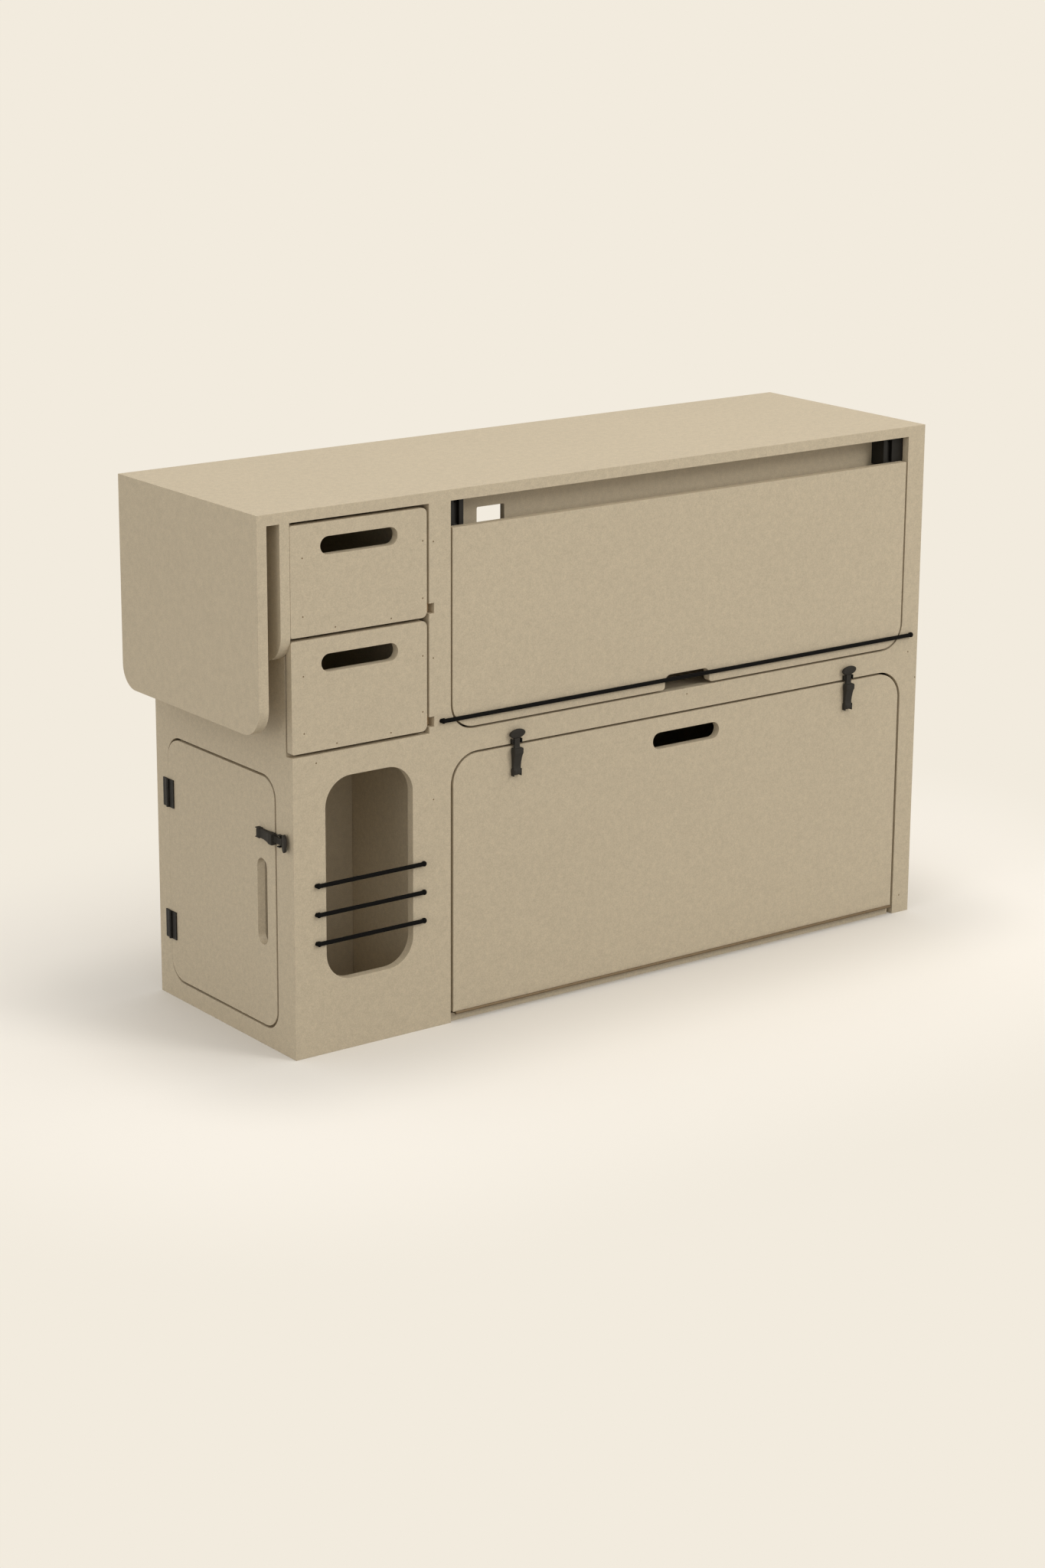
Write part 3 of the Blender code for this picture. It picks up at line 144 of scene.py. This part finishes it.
def newMaterial(name, settings):
    material = bpy.data.materials.new(name)
    material.use_nodes = True
    shader = material.node_tree.nodes["Principled BSDF"]
    shader.inputs["Roughness"].default_value = settings["roughness"]
    shader.inputs["Metallic"].default_value = settings.get("metallic", 0.0)
    shader.inputs["Specular IOR Level"].default_value = settings.get("gloss", 0.5)
    return material, material.node_tree, shader


def objectPlace(tree, stretch=None):
    place = addNode(tree, "ShaderNodeTexCoord").outputs["Object"]
    if stretch:
        place = addNode(tree, "ShaderNodeMapping", {"Vector": place, "Scale": stretch}).outputs["Vector"]
    return place


def tint(tree, shader, colour, factors):
    # base colour = colour times the product of the factors
    product = factors[0]
    for factor in factors[1:]:
        product = calc(tree, "MULTIPLY", product, factor)
    scaled = addNode(tree, "ShaderNodeVectorMath", {0: linear(colour), "Scale": product}, operation="SCALE")
    tree.links.new(scaled.outputs["Vector"], shader.inputs["Base Color"])


def bump(tree, shader, height, settings):
    node = addNode(tree, "ShaderNodeBump", {
        "Height": height, "Strength": settings["bump"], "Distance": settings["bumpDistance"]})
    tree.links.new(node.outputs["Normal"], shader.inputs["Normal"])


# Finishes: a colour under layers of noise, the last of which is raised a little too
finishSettings = {
    # an even matte face with a faint mottle; the boards' edges have the same colour
    "sandLaminate": {
        "colour": (192, 178, 153), "roughness": 0.56, "bump": 0.10, "bumpDistance": 0.0002,
        "layers": [{"scale": 3.2, "depth": 0.012},
                   {"scale": 130, "depth": 0.05, "detail": 3},
                   {"scale": 620, "depth": 0.11, "detail": 3, "rough": 0.6}],
    },
    # the drawers' runners, with pores, and the grain running front to back
    "bareWood": {
        "colour": (196, 168, 128), "roughness": 0.62, "bump": 0.15, "bumpDistance": 0.0003,
        "stretch": (1, 0.06, 1),
        "layers": [{"scale": 900, "depth": 0.05},
                   {"scale": 260, "depth": 0.14, "detail": 4, "rough": 0.6}],
    },
    "blackSatin": {
        "colour": (22, 20, 17), "roughness": 0.5, "gloss": 0.3, "bump": 0.12, "bumpDistance": 0.0001,
        "layers": [{"scale": 120, "depth": 0.09}, {"scale": 1500, "depth": 0.18}],
    },
    "blackRubber": {
        "colour": (44, 41, 36), "roughness": 0.75, "gloss": 0.3, "bump": 0.2, "bumpDistance": 0.0001,
        "layers": [{"scale": 176, "depth": 0.08}, {"scale": 2200, "depth": 0.16}],
    },
    "cordBlack": {
        "colour": (12, 11, 10), "roughness": 0.9, "gloss": 0.12, "bump": 0.3, "bumpDistance": 0.0001,
        "layers": [{"scale": 144, "depth": 0.1}, {"scale": 1800, "depth": 0.2}],
    },
    "bronze": {
        "colour": (120, 102, 78), "roughness": 0.45, "metallic": 0.6, "bump": 0.08, "bumpDistance": 0.0001,
        "layers": [{"scale": 96, "depth": 0.05}, {"scale": 1200, "depth": 0.10}],
    },
}


def makeFinish(name, settings):
    # colour * the product of (1 + depth * noise) over the layers
    material, tree, shader = newMaterial(name, settings)
    place = objectPlace(tree, settings.get("stretch"))
    layers = [layer(tree, place, one) for one in settings["layers"]]
    tint(tree, shader, settings["colour"], [factor for value, factor in layers])
    bump(tree, shader, layers[-1][0], settings)
    return material


# Woven sheath of the elastic cords, on the cord's own UV: u round it, v along it in metres
sheathSettings = {
    "colour": (12, 11, 10), "roughness": 0.9, "gloss": 0.12, "bump": 0.5, "bumpDistance": 0.0003,
    "strandsRound": 8, "pitch": 0.0042, "depth": 0.45,
}


def makeSheath(settings):
    # height = max(sin(2 pi (n u + v / p)), sin(2 pi (n u - v / p))): two families of crossing strands
    material, tree, shader = newMaterial("wovenSheath", settings)
    uv = addNode(tree, "ShaderNodeUVMap", uv_map="sheath").outputs["UV"]
    parts = addNode(tree, "ShaderNodeSeparateXYZ", {0: uv}).outputs
    around = calc(tree, "MULTIPLY", parts["X"], settings["strandsRound"])
    along = calc(tree, "DIVIDE", parts["Y"], settings["pitch"])
    turns = [calc(tree, "MULTIPLY", calc(tree, way, around, along), 2 * math.pi) for way in ("ADD", "SUBTRACT")]
    height = calc(tree, "MAXIMUM", *[calc(tree, "SINE", turn) for turn in turns])
    # the colour follows the height: painted shade in the hollows between strands and a painted highlight on
    # their crests
    tint(tree, shader, settings["colour"],
         [spread(tree, height, 1 - settings["depth"], 1 + settings["depth"], 0, 1)])
    bump(tree, shader, height, settings)
    return material


finishes = {name: makeFinish(name, settings) for name, settings in finishSettings.items()}
sheath = makeSheath(sheathSettings)
print("materials made")


# Boards: each CAD board's own shape with eased edges
# "touch" closes the fitting gap to a neighbour: (axis, where the face is, where it goes), in mm
# "plain" are planes whose edges stay square because the face runs on into a neighbour
# "stretch" lengthens a board past a level: (axis, from where, its old end, its new end), in mm
easing = {
    "width": 0.6 * mm, "segments": 2, "profile": 0.7,
    "sharp": math.radians(30), "crease": math.radians(50), "flat": math.radians(0.4),
    "weld": 0.002 * mm, "near": 0.05 * mm,
}
underTop = ("z", 724.7, 725.0)
boards = {
    "top_panel": {"plain": [("z", 725)]},
    "front_panel": {"touch": [underTop], "plain": [("z", 725), ("y", 12)]},
    "left_side_panel": {"touch": [underTop, ("y", 12.3, 12.0)],
                        "plain": [("z", 725), ("y", 12), ("x", 12), ("y", 314.5)]},
    "right_end_panel": {"touch": [underTop, ("y", 12.3, 12.0)], "plain": [("z", 725), ("y", 12), ("x", 1084)]},
    "overhang_outer_panel": {"touch": [underTop], "plain": [("z", 725)]},
    "overhang_inner_panel": {"touch": [underTop], "plain": [("z", 725)]},
    "back_panel": {"touch": [underTop, ("x", 12.3, 12.0), ("x", 1083.7, 1084.0)],
                   "plain": [("z", 725), ("y", 336), ("x", 12), ("x", 1084)]},
    "flap_crossbar": {"touch": [("x", 228.3, 228.0), ("x", 1083.7, 1084.0), underTop],
                      "plain": [("z", 725), ("x", 228), ("x", 1084)]},
    "bottom_panel": {},
    "middle_divider": {},
    "drawer_bay_floor": {},
    "main_shelf": {},
    "cubby_partition": {},
    "flap_panel": {},
    "lower_door_panel": {},
    "side_door_panel": {"stretch": [("y", 283.5, 311.1, 314.3)], "plain": [("y", 314.3)]},
}
for drawer in ("drawer_upper", "drawer_lower"):
    for part in ("front", "left_side", "right_side", "bottom", "back"):
        boards[f"{drawer}_{part}"] = {}
    for side in ("left", "right"):
        boards[f"{drawer}_{side}_runner"] = {"finish": "bareWood", "slot": "bare_board"}


def onPlane(vertex, axis, level):
    index = "xyz".index(axis)
    return abs(vertex.co[index] - footCorner[index] - level * mm) < easing["near"]


def inPlanes(edge, planes):
    return any(all(onPlane(vertex, axis, level) for vertex in edge.verts) for axis, level in planes)


def fitted(points, touch, stretch):
    # touch: level = now where level = was
    # stretch: level + (now - was) clip((level - start) / (was - start), 0, 1)
    for axis, was, now in touch:
        index = "xyz".index(axis)
        at = np.abs(points[:, index] - footCorner[index] - was * mm) < easing["near"]
        points[at, index] = footCorner[index] + now * mm
    for axis, start, was, now in stretch:
        index = "xyz".index(axis)
        level = (points[:, index] - footCorner[index]) / mm
        points[:, index] += (now - was) * mm * np.clip((level - start) / (was - start), 0, 1)
    return points


def easedCopy(node, finish, width, changes, clamp=False):
    # the node's welded mesh, faces merged, then its outward edges sharper than 30 degrees bevelled
    plain = changes.get("plain", ())
    source = cadNodes[node]
    mesh = source.data.copy()
    mesh.name = f"{node}_finished"
    points = np.empty(len(mesh.vertices) * 3, np.float32)
    mesh.vertices.foreach_get("co", points)
    points = fitted(points.reshape(-1, 3), changes.get("touch", ()), changes.get("stretch", ()))
    mesh.vertices.foreach_set("co", points.ravel())
    shape = bmesh.new()
    shape.from_mesh(mesh)
    bmesh.ops.remove_doubles(shape, verts=shape.verts, dist=easing["weld"])
    bmesh.ops.dissolve_limit(shape, angle_limit=easing["flat"], verts=shape.verts, edges=shape.edges)
    edges = [edge for edge in shape.edges
             if edge.calc_face_angle_signed(0) > easing["sharp"] and not inPlanes(edge, plain)]
    if edges:
        bmesh.ops.bevel(shape, geom=edges, offset=width, offset_type="OFFSET", segments=easing["segments"],
                        profile=easing["profile"], affect="EDGES", clamp_overlap=clamp)
    for face in shape.faces:
        face.smooth = True
    for edge in shape.edges:
        edge.smooth = edge.calc_face_angle(0) < easing["crease"] and not inPlanes(edge, plain)
    shape.to_mesh(mesh)
    shape.free()
    mesh.materials.clear()
    mesh.materials.append(finishes[finish])
    piece = bpy.data.objects.new(mesh.name, mesh)
    scene.collection.objects.link(piece)
    normals = piece.modifiers.new("facesStayFlat", "WEIGHTED_NORMAL")
    normals.keep_sharp = True
    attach(piece, source["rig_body"])
    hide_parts(node)


for node, settings in boards.items():
    easedCopy(node, settings.get("finish", "sandLaminate"),
              easing["width"], settings)
print("boards eased:", len(boards))


# Metal and rubber fittings that keep their CAD shape, with finer edges; the long hinge is only coloured
fittingSettings = {
    "width": 0.25 * mm,
    "eased": {
        "blackSatin": ("black_hinge", [
            "flap_hinge_block_left", "flap_hinge_block_right", "flap_hinge_arm_left", "flap_hinge_arm_right",
            "flap_hinge_pin_left", "flap_hinge_pin_right", "side_hinge_lower_fixed_leaf",
            "side_hinge_upper_fixed_leaf", "side_hinge_lower_door_leaf", "side_hinge_upper_door_leaf",
            "side_hinge_lower_pin", "side_hinge_upper_pin", "door_latch_left_keeper",
            "door_latch_right_keeper", "side_latch_keeper",
        ]),
        "blackRubber": ("black_rubber", [
            "door_latch_left_bracket", "door_latch_right_bracket", "side_latch_bracket",
        ]),
    },
    "coloured": {"bronze": ["piano_hinge_fixed_leaf", "piano_hinge_door_leaf", "piano_hinge_pin"]},
}
for finish, (slot, names) in fittingSettings["eased"].items():
    for node in names:
        easedCopy(node, finish, fittingSettings["width"], {}, clamp=True)
for finish, names in fittingSettings["coloured"].items():
    for node in names:
        cadNodes[node].material_slots[0].material = finishes[finish]
print("fittings finished")


# Mesh helpers for the new pieces
def newPiece(name, points, faces, material, body, uv=None):
    mesh = bpy.data.meshes.new(name)
    mesh.from_pydata(points.reshape(-1, 3).tolist(), [], faces)
    if uv is not None:
        mesh.uv_layers.new(name="sheath").data.foreach_set("uv", uv.astype(np.float32).ravel())
    shape = bmesh.new()
    shape.from_mesh(mesh)
    bmesh.ops.recalc_face_normals(shape, faces=shape.faces)
    shape.to_mesh(mesh)
    shape.free()
    mesh.polygons.foreach_set("use_smooth", np.ones(len(mesh.polygons), bool))
    mesh.set_sharp_from_angle(angle=easing["crease"])
    mesh.materials.append(material)
    piece = bpy.data.objects.new(name, mesh)
    scene.collection.objects.link(piece)
    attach(piece, body)
    return piece


def ringFaces(rows, columns, start=0):
    # quads between neighbouring closed rings, and one face over each end ring
    row, column = np.meshgrid(np.arange(rows - 1), np.arange(columns), indexing="ij")
    a = start + row * columns + column
    b = start + row * columns + (column + 1) % columns
    quads = np.stack((a, b, b + columns, a + columns), -1).reshape(-1, 4).tolist()
    first = list(range(start, start + columns))[::-1]
    last = list(range(start + (rows - 1) * columns, start + rows * columns))
    return quads + [first, last]


def circle(count):
    # the angles 2 pi i / count
    return np.linspace(0, 2 * np.pi, count, endpoint=False)


def signedPower(values, power):
    # sign(v) |v|^power: below 1 it squares a circle's sides
    return np.sign(values) * np.abs(values) ** power


# Rubber straps, in mm from the pin: "along" runs to the head, "out" away from the door
# "body" and "neck" are where a longer strap takes its length: (from, over)
strapSettings = {
    "along": [-2.7, -2.3, -1.2, 1.5, 3.4, 5.2, 8.0, 14.0, 21.0, 25.0, 27.0, 32.8, 34.2, 34.6, 36.0, 47.5],
    "halfWidth": [5.2, 5.4, 5.5, 5.5, 5.6, 6.4, 6.5, 6.6, 6.9, 7.4, 7.9, 7.9, 7.4, 4.9, 4.6, 4.6],
    "back": [-1.2, -2.2, -2.9, -3.2, -3.4, -3.5, -3.6, -3.6, -3.6, -3.6, -3.6, -3.5, -3.1, -2.2, -2.0, -2.0],
    "front": [1.6, 2.6, 3.2, 3.2, 2.8, 1.7, 1.4, 2.2, 3.8, 5.0, 6.0, 6.2, 5.9, 2.2, 1.3, 1.3],
    "head": {"centre": 54.5, "halfWidth": 12.25, "halfHeight": 7.1, "halfDepth": 2.6, "out": 1.0, "lean": 0.3,
             "bulge": 0.6, "rings": 26, "tip": 0.06},
    "body": (8.0, 26.0),
    "neck": (36.0, 11.5),
    "square": 0.3,
    "round": 44,
    "between": 4,
}
straps = {  # "ways" are the directions of along, across and out
    "door_strap_left": {"node": "door_latch_left_strap", "rides": "door_latch_left",
                        "pin": (357.65, -4.2, 339.0), "ways": ((0, 0, 1), (1, 0, 0), (0, -1, 0))},
    "door_strap_right": {"node": "door_latch_right_strap", "rides": "door_latch_right",
                         "pin": (957.65, -4.2, 339.0), "ways": ((0, 0, 1), (1, 0, 0), (0, -1, 0))},
    "side_strap": {"node": "side_latch_strap", "rides": "side_latch", "longerBody": 5.6, "longerNeck": 3.4,
                   "pin": (-4.2, 77.7, 297.7), "ways": ((0, -1, 0), (0, 0, 1), (-1, 0, 0))},
}


def strapSections(settings, longerBody, longerNeck):
    # half width, back and front at each station; past the neck the head's ellipse takes over where it is wider:
    # a = A sqrt(1 - ((s - c) / H)^2); the head leans outward: m = out + lean (s - c)
    along = np.array(settings["along"])
    steps = [np.linspace(a, b, settings["between"], endpoint=False) for a, b in zip(along[:-1], along[1:])]
    stations = np.concatenate(steps + [[along[-1]]])
    sizes = [np.interp(stations, along, settings[key]) for key in ("halfWidth", "back", "front")]
    (bodyFrom, bodyOver), (neckFrom, neckOver) = settings["body"], settings["neck"]
    stations = (stations + longerBody * np.clip((stations - bodyFrom) / bodyOver, 0, 1)
                + longerNeck * np.clip((stations - neckFrom) / neckOver, 0, 1))
    head = settings["head"]
    start = np.arcsin(settings["halfWidth"][-1] / head["halfWidth"])
    turn = np.linspace(start, np.pi - head["tip"], head["rings"])
    headAlong = head["centre"] + longerBody + longerNeck - head["halfHeight"] * np.cos(turn)
    headWidth = head["halfWidth"] * np.sin(turn)
    headDepth = head["halfDepth"] * np.sin(turn) ** head["bulge"]
    middle = head["out"] - head["lean"] * head["halfHeight"] * np.cos(turn)
    return (np.concatenate((stations, headAlong)), np.concatenate((sizes[0], headWidth)),
            np.concatenate((sizes[1], middle - headDepth)), np.concatenate((sizes[2], middle + headDepth)))


def makeStrap(name, strap, settings):
    # point(s, t) = pin + s along + a(s) cos^k t across + (m(s) + h(s) sin^k t) out, a rounded oblong section
    longer = (strap.get("longerBody", 0), strap.get("longerNeck", 0))
    stations, half, back, front = strapSections(settings, *longer)
    turn = circle(settings["round"])
    wide, thick = signedPower(np.cos(turn), settings["square"]), signedPower(np.sin(turn), settings["square"])
    across = half[:, None] * wide
    out = (back + front)[:, None] / 2 + (front - back)[:, None] / 2 * thick
    along = np.repeat(stations[:, None], len(turn), 1)
    local = np.stack((along, across, out), -1)
    points = footCorner + mm * (np.array(strap["pin"]) + local @ np.array(strap["ways"]))
    piece = newPiece(name, points, ringFaces(*points.shape[:2]), finishes["blackRubber"],
                     strap["rides"])
    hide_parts(strap["node"])


for name, strap in straps.items():
    makeStrap(name, strap, strapSettings)
print("straps made")


# Elastic cords: a tube along its path, with a bead over each hole, in mm
# "tail" is how far an end runs in behind the front, and "knot" how far in its knot lies
cordSettings = {
    "radius": 2.9, "legRadius": 2.6, "bend": 3.2, "tail": 21.3,
    "knot": 16.3, "knotRadius": 4.0, "knotLength": 2.4,
    "bead": (3.5, 3.4, 3.9), "beadPlace": (1.0, -3.9, 0.5), "beadRings": 12, "beadPole": 0.08,
    "round": 16, "bendSteps": 12, "tailSteps": 5, "step": 1.5,
}
cords = {  # the two holes and the level
    "cubby_cord_lower": (35, 205.5, 156.3),
    "cubby_cord_middle": (35, 205.5, 196.3),
    "cubby_cord_upper": (35, 205.5, 236.3),
    "flap_cord": (235.5, 1079.7, 429),
}


def cordPath(left, right, level, settings):
    # in through the left hole, a quarter bend, straight across, a quarter bend, and in through the right hole
    bend, tailSteps = settings["bend"], settings["tailSteps"]
    turn = np.linspace(0, np.pi / 2, settings["bendSteps"])
    inward = np.linspace(settings["tail"], 0, tailSteps, endpoint=False)
    leftLeg = np.stack((np.full(tailSteps, left), inward), -1)
    leftBend = np.stack((left + bend * (1 - np.cos(turn)), -bend * np.sin(turn)), -1)
    middle = np.linspace(left + bend, right - bend, int((right - left) / settings["step"]))[1:-1]
    across = np.stack((middle, np.full(len(middle), -bend)), -1)
    rightBend = np.stack((right - bend * (1 - np.cos(turn)), -bend * np.sin(turn)), -1)[::-1]
    rightLeg = np.stack((np.full(tailSteps, right), inward), -1)[::-1]
    flat = np.concatenate((leftLeg, leftBend, across, rightBend, rightLeg))
    return np.stack((flat[:, 0], flat[:, 1], np.full(len(flat), level)), -1)


def tube(path, radius, around):
    # point(i, t) = path_i + r_i (cos t n_i + sin t z), with n_i square to the path in its own level plane
    way = np.gradient(path, axis=0)
    way /= np.linalg.norm(way, axis=1)[:, None]
    upward = np.array((0, 0, 1.0))
    beside = np.cross(way, upward)
    turn = circle(around)[:, None]
    return path[:, None] + radius[:, None, None] * (np.cos(turn) * beside[:, None] + np.sin(turn) * upward)


def sheathUv(path, around):
    # u = t / 2 pi round the tube, v = length along the path in metres
    steps = np.concatenate(([0], np.cumsum(np.linalg.norm(np.diff(path, axis=0), axis=1)))) * mm
    row, column = np.meshgrid(np.arange(len(path) - 1), np.arange(around), indexing="ij")
    low, high = steps[row], steps[row + 1]
    left, right = column / around, (column + 1) / around
    quads = np.stack((left, low, right, low, right, high, left, high), -1).reshape(-1, 2)
    caps = np.zeros((2 * around, 2))
    return np.concatenate((quads, caps))


def makeCord(node, left, right, level, settings):
    # r = leg + (front - leg) clip(-y / bend, 0, 1) + (knot - leg) exp(-((y - k) / l)^2): thinner in its holes,
    # swollen by the knot behind the board
    path = cordPath(left, right, level, settings)
    leg = settings["legRadius"]
    before = np.clip(-path[:, 1] / settings["bend"], 0, 1)
    behind = np.exp(-((path[:, 1] - settings["knot"]) / settings["knotLength"]) ** 2)
    radius = leg + (settings["radius"] - leg) * before + (settings["knotRadius"] - leg) * behind
    points = footCorner + mm * tube(path, radius, settings["round"])
    cord = newPiece(f"{node}_woven", points, ringFaces(*points.shape[:2]), sheath, "cabinet",
                    sheathUv(path, settings["round"]))
    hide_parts(node)


def makeBeads(node, left, right, level, settings):
    # a bead over each hole: point(u, v) = c + (a sin u cos v, b sin u sin v, c cos u)
    inward, out, up = settings["beadPlace"]
    u = np.linspace(settings["beadPole"], np.pi - settings["beadPole"], settings["beadRings"])[:, None]
    v = circle(settings["round"])
    bead = np.stack((np.sin(u) * np.cos(v), np.sin(u) * np.sin(v), np.cos(u) + 0 * v), -1) * settings["bead"]
    beads = np.stack([bead + (x, out, level + up) for x in (left + inward, right - inward)])
    rows, columns = bead.shape[:2]
    faces = ringFaces(rows, columns) + ringFaces(rows, columns, rows * columns)
    newPiece(f"{node}_beads", footCorner + mm * beads, faces, finishes["cordBlack"], "cabinet")


for node, (left, right, level) in cords.items():
    makeCord(node, left, right, level, cordSettings)
    makeBeads(node, left, right, level, cordSettings)
print("cords made")


# Screw heads, as small dots: (across, level) on the front plane, in mm
screwSettings = {
    "radius": 1.15, "proud": 0.12, "inside": 0.4, "middle": 0.12, "steps": 5, "round": 18,
    "places": {
        "drawer_upper": [(18.6, 677), (18.5, 600.4), (68.3, 580.5), (155.6, 579.7),
                         (206, 676.9), (205.8, 600.2)],
        "drawer_lower": [(18.3, 521.6), (18.6, 445.4), (69, 425), (154.4, 425.5),
                         (205.6, 522.2), (205.4, 446)],
        "cabinet": [(222.8, 673.9), (222.6, 516.9), (222.7, 322.3), (36.6, 403.2), (657.4, 402.4),
                    (1077.6, 403.2), (1093.3, 362.2), (1077.4, 26.8)],
    },
}


def makeScrews(body, places, settings):
    # a low dome: depth(r) = proud * (1 - (r / R)^2), closed behind by a flat face just inside the board
    share = np.linspace(1, settings["middle"], settings["steps"])[:, None]
    turn = circle(settings["round"])
    depth = -settings["proud"] * (1 - share ** 2) + 0 * turn
    dome = np.stack((share * settings["radius"] * np.cos(turn), depth,
                     share * settings["radius"] * np.sin(turn)), -1)
    dome = np.concatenate((dome[:1] + (0, settings["inside"], 0), dome))
    rows, columns = dome.shape[:2]
    points = np.concatenate([dome + (across, 0, level) for across, level in places])
    faces = [face for index in range(len(places)) for face in ringFaces(rows, columns, index * rows * columns)]
    newPiece(f"{body}_screws", footCorner + mm * points, faces, finishes["bronze"], body)


for body, places in screwSettings["places"].items():
    makeScrews(body, places, screwSettings)
print("screws made")


# Floor, world and lamps
# the floor is darker beside the unit by a painted shadow, and is the background's own colour past "fadeEnd"
stageSettings = {
    "background": (242, 235, 222),
    "ambient": 0.85,
    "ambientColour": (1.0, 0.98, 0.94),
    "floor": {
        "roughness": 0.9, "gloss": 0.0, "colour": (247, 243, 237), "bounce": (172, 170, 167),
        "paintedShadow": 0.84, "paintedShadowReach": 0.24, "fadeStart": 0.10, "fadeEnd": 0.70,
        "halfUnit": (0.55, 0.18), "rings": (0.02, 1.0, 4.0, 15.0, 60.0), "round": 64,
    },
    "lamps": {
        "key": {"place": (1.75, -3.4, 2.9), "aim": (0, 0, 0.55), "size": 1.6, "power": 50,
                "colour": (1.0, 0.985, 0.95)},
        "above": {"place": (0.2, -0.8, 3.6), "aim": (0, 0, 0.4), "size": 2.6, "power": 13,
                  "colour": (1.0, 0.94, 0.84)},
        "left": {"place": (-3.4, -1.0, 0.9), "aim": (0, 0, 0.45), "size": 1.6, "power": 10.5,
                 "colour": (1.0, 0.975, 0.93)},
    },
}


def seenRays(tree):
    # 1 for rays from the camera, and for those off gloss or through glass; 0 for the rest
    rays = addNode(tree, "ShaderNodeLightPath").outputs
    mirrored = calc(tree, "MAXIMUM", rays["Is Glossy Ray"], rays["Is Transmission Ray"])
    return calc(tree, "MAXIMUM", rays["Is Camera Ray"], mirrored)


def makeWorld(settings):
    world = bpy.data.worlds.new("softRoom")
    scene.world = world
    world.use_nodes = True
    tree = world.node_tree
    tree.nodes.clear()
    lit = addNode(tree, "ShaderNodeBackground", {
        "Color": (*settings["ambientColour"], 1), "Strength": settings["ambient"]})
    plain = addNode(tree, "ShaderNodeBackground", {
        "Color": (*linear(settings["background"]), 1), "Strength": 1.0})
    mix = addNode(tree, "ShaderNodeMixShader", {0: seenRays(tree), 1: lit.outputs[0], 2: plain.outputs[0]})
    addNode(tree, "ShaderNodeOutputWorld", {"Surface": mix.outputs[0]})


def makeFloor(settings, background):
    material, tree, shader = newMaterial("paleFloor", settings)
    seen = seenRays(tree)
    # distance from the unit's footprint: |max(|p| - half, 0)| in plan
    parts = addNode(tree, "ShaderNodeSeparateXYZ", {0: objectPlace(tree)}).outputs
    beyond = [calc(tree, "MAXIMUM", calc(tree, "SUBTRACT", calc(tree, "ABSOLUTE", parts[axis]), half), 0.0)
              for axis, half in zip("XY", settings["halfUnit"])]
    flat = addNode(tree, "ShaderNodeCombineXYZ", {"X": beyond[0], "Y": beyond[1]}).outputs[0]
    away = addNode(tree, "ShaderNodeVectorMath", {0: flat}, operation="LENGTH").outputs["Value"]
    # what the camera sees: colour * (s + (1 - s) smooth(distance / reach)), a painted shadow of depth s beside
    # the unit
    # the other rays get the bounce; sockets 6 and 7 are the two colours of a colour mix
    near = spread(tree, away, settings["paintedShadow"], 1, 0, settings["paintedShadowReach"], "SMOOTHSTEP")
    pale = addNode(tree, "ShaderNodeVectorMath", {0: linear(settings["colour"]), "Scale": near},
                   operation="SCALE").outputs["Vector"]
    colour = addNode(tree, "ShaderNodeMix", {0: seen, 6: (*linear(settings["bounce"]), 1), 7: pale},
                     data_type="RGBA").outputs[2]
    tree.links.new(colour, shader.inputs["Base Color"])
    far = spread(tree, away, 0, 1, settings["fadeStart"], settings["fadeEnd"], "SMOOTHSTEP")
    glow = addNode(tree, "ShaderNodeEmission", {"Color": (*linear(background), 1), "Strength": 1.0})
    mix = addNode(tree, "ShaderNodeMixShader", {
        0: calc(tree, "MULTIPLY", seen, far), 1: shader.outputs[0], 2: glow.outputs[0]})
    tree.links.new(mix.outputs[0], tree.nodes["Material Output"].inputs["Surface"])

    # a disc: point(r, t) = (r cos t, r sin t)
    radii, turn = np.array(settings["rings"])[:, None], circle(settings["round"])
    points = np.stack((radii * np.cos(turn), radii * np.sin(turn), 0 * radii * turn), -1)
    mesh = bpy.data.meshes.new("paleFloor")
    mesh.from_pydata(points.reshape(-1, 3).tolist(), [], ringFaces(*points.shape[:2])[:-1])
    mesh.materials.append(material)
    floor = bpy.data.objects.new("paleFloor", mesh)
    scene.collection.objects.link(floor)


def makeLamp(name, lamp):
    data = bpy.data.lights.new(name, "AREA")
    data.shape = "DISK"
    data.size = lamp["size"]
    data.energy = lamp["power"]
    data.color = lamp["colour"]
    light = bpy.data.objects.new(name, data)
    turn = (Vector(lamp["aim"]) - Vector(lamp["place"])).to_track_quat("-Z", "Y").to_matrix().to_4x4()
    light.matrix_world = Matrix.Translation(lamp["place"]) @ turn
    scene.collection.objects.link(light)


makeWorld(stageSettings)
makeFloor(stageSettings["floor"], stageSettings["background"])
for name, lamp in stageSettings["lamps"].items():
    makeLamp(name, lamp)
print("stage and light set")
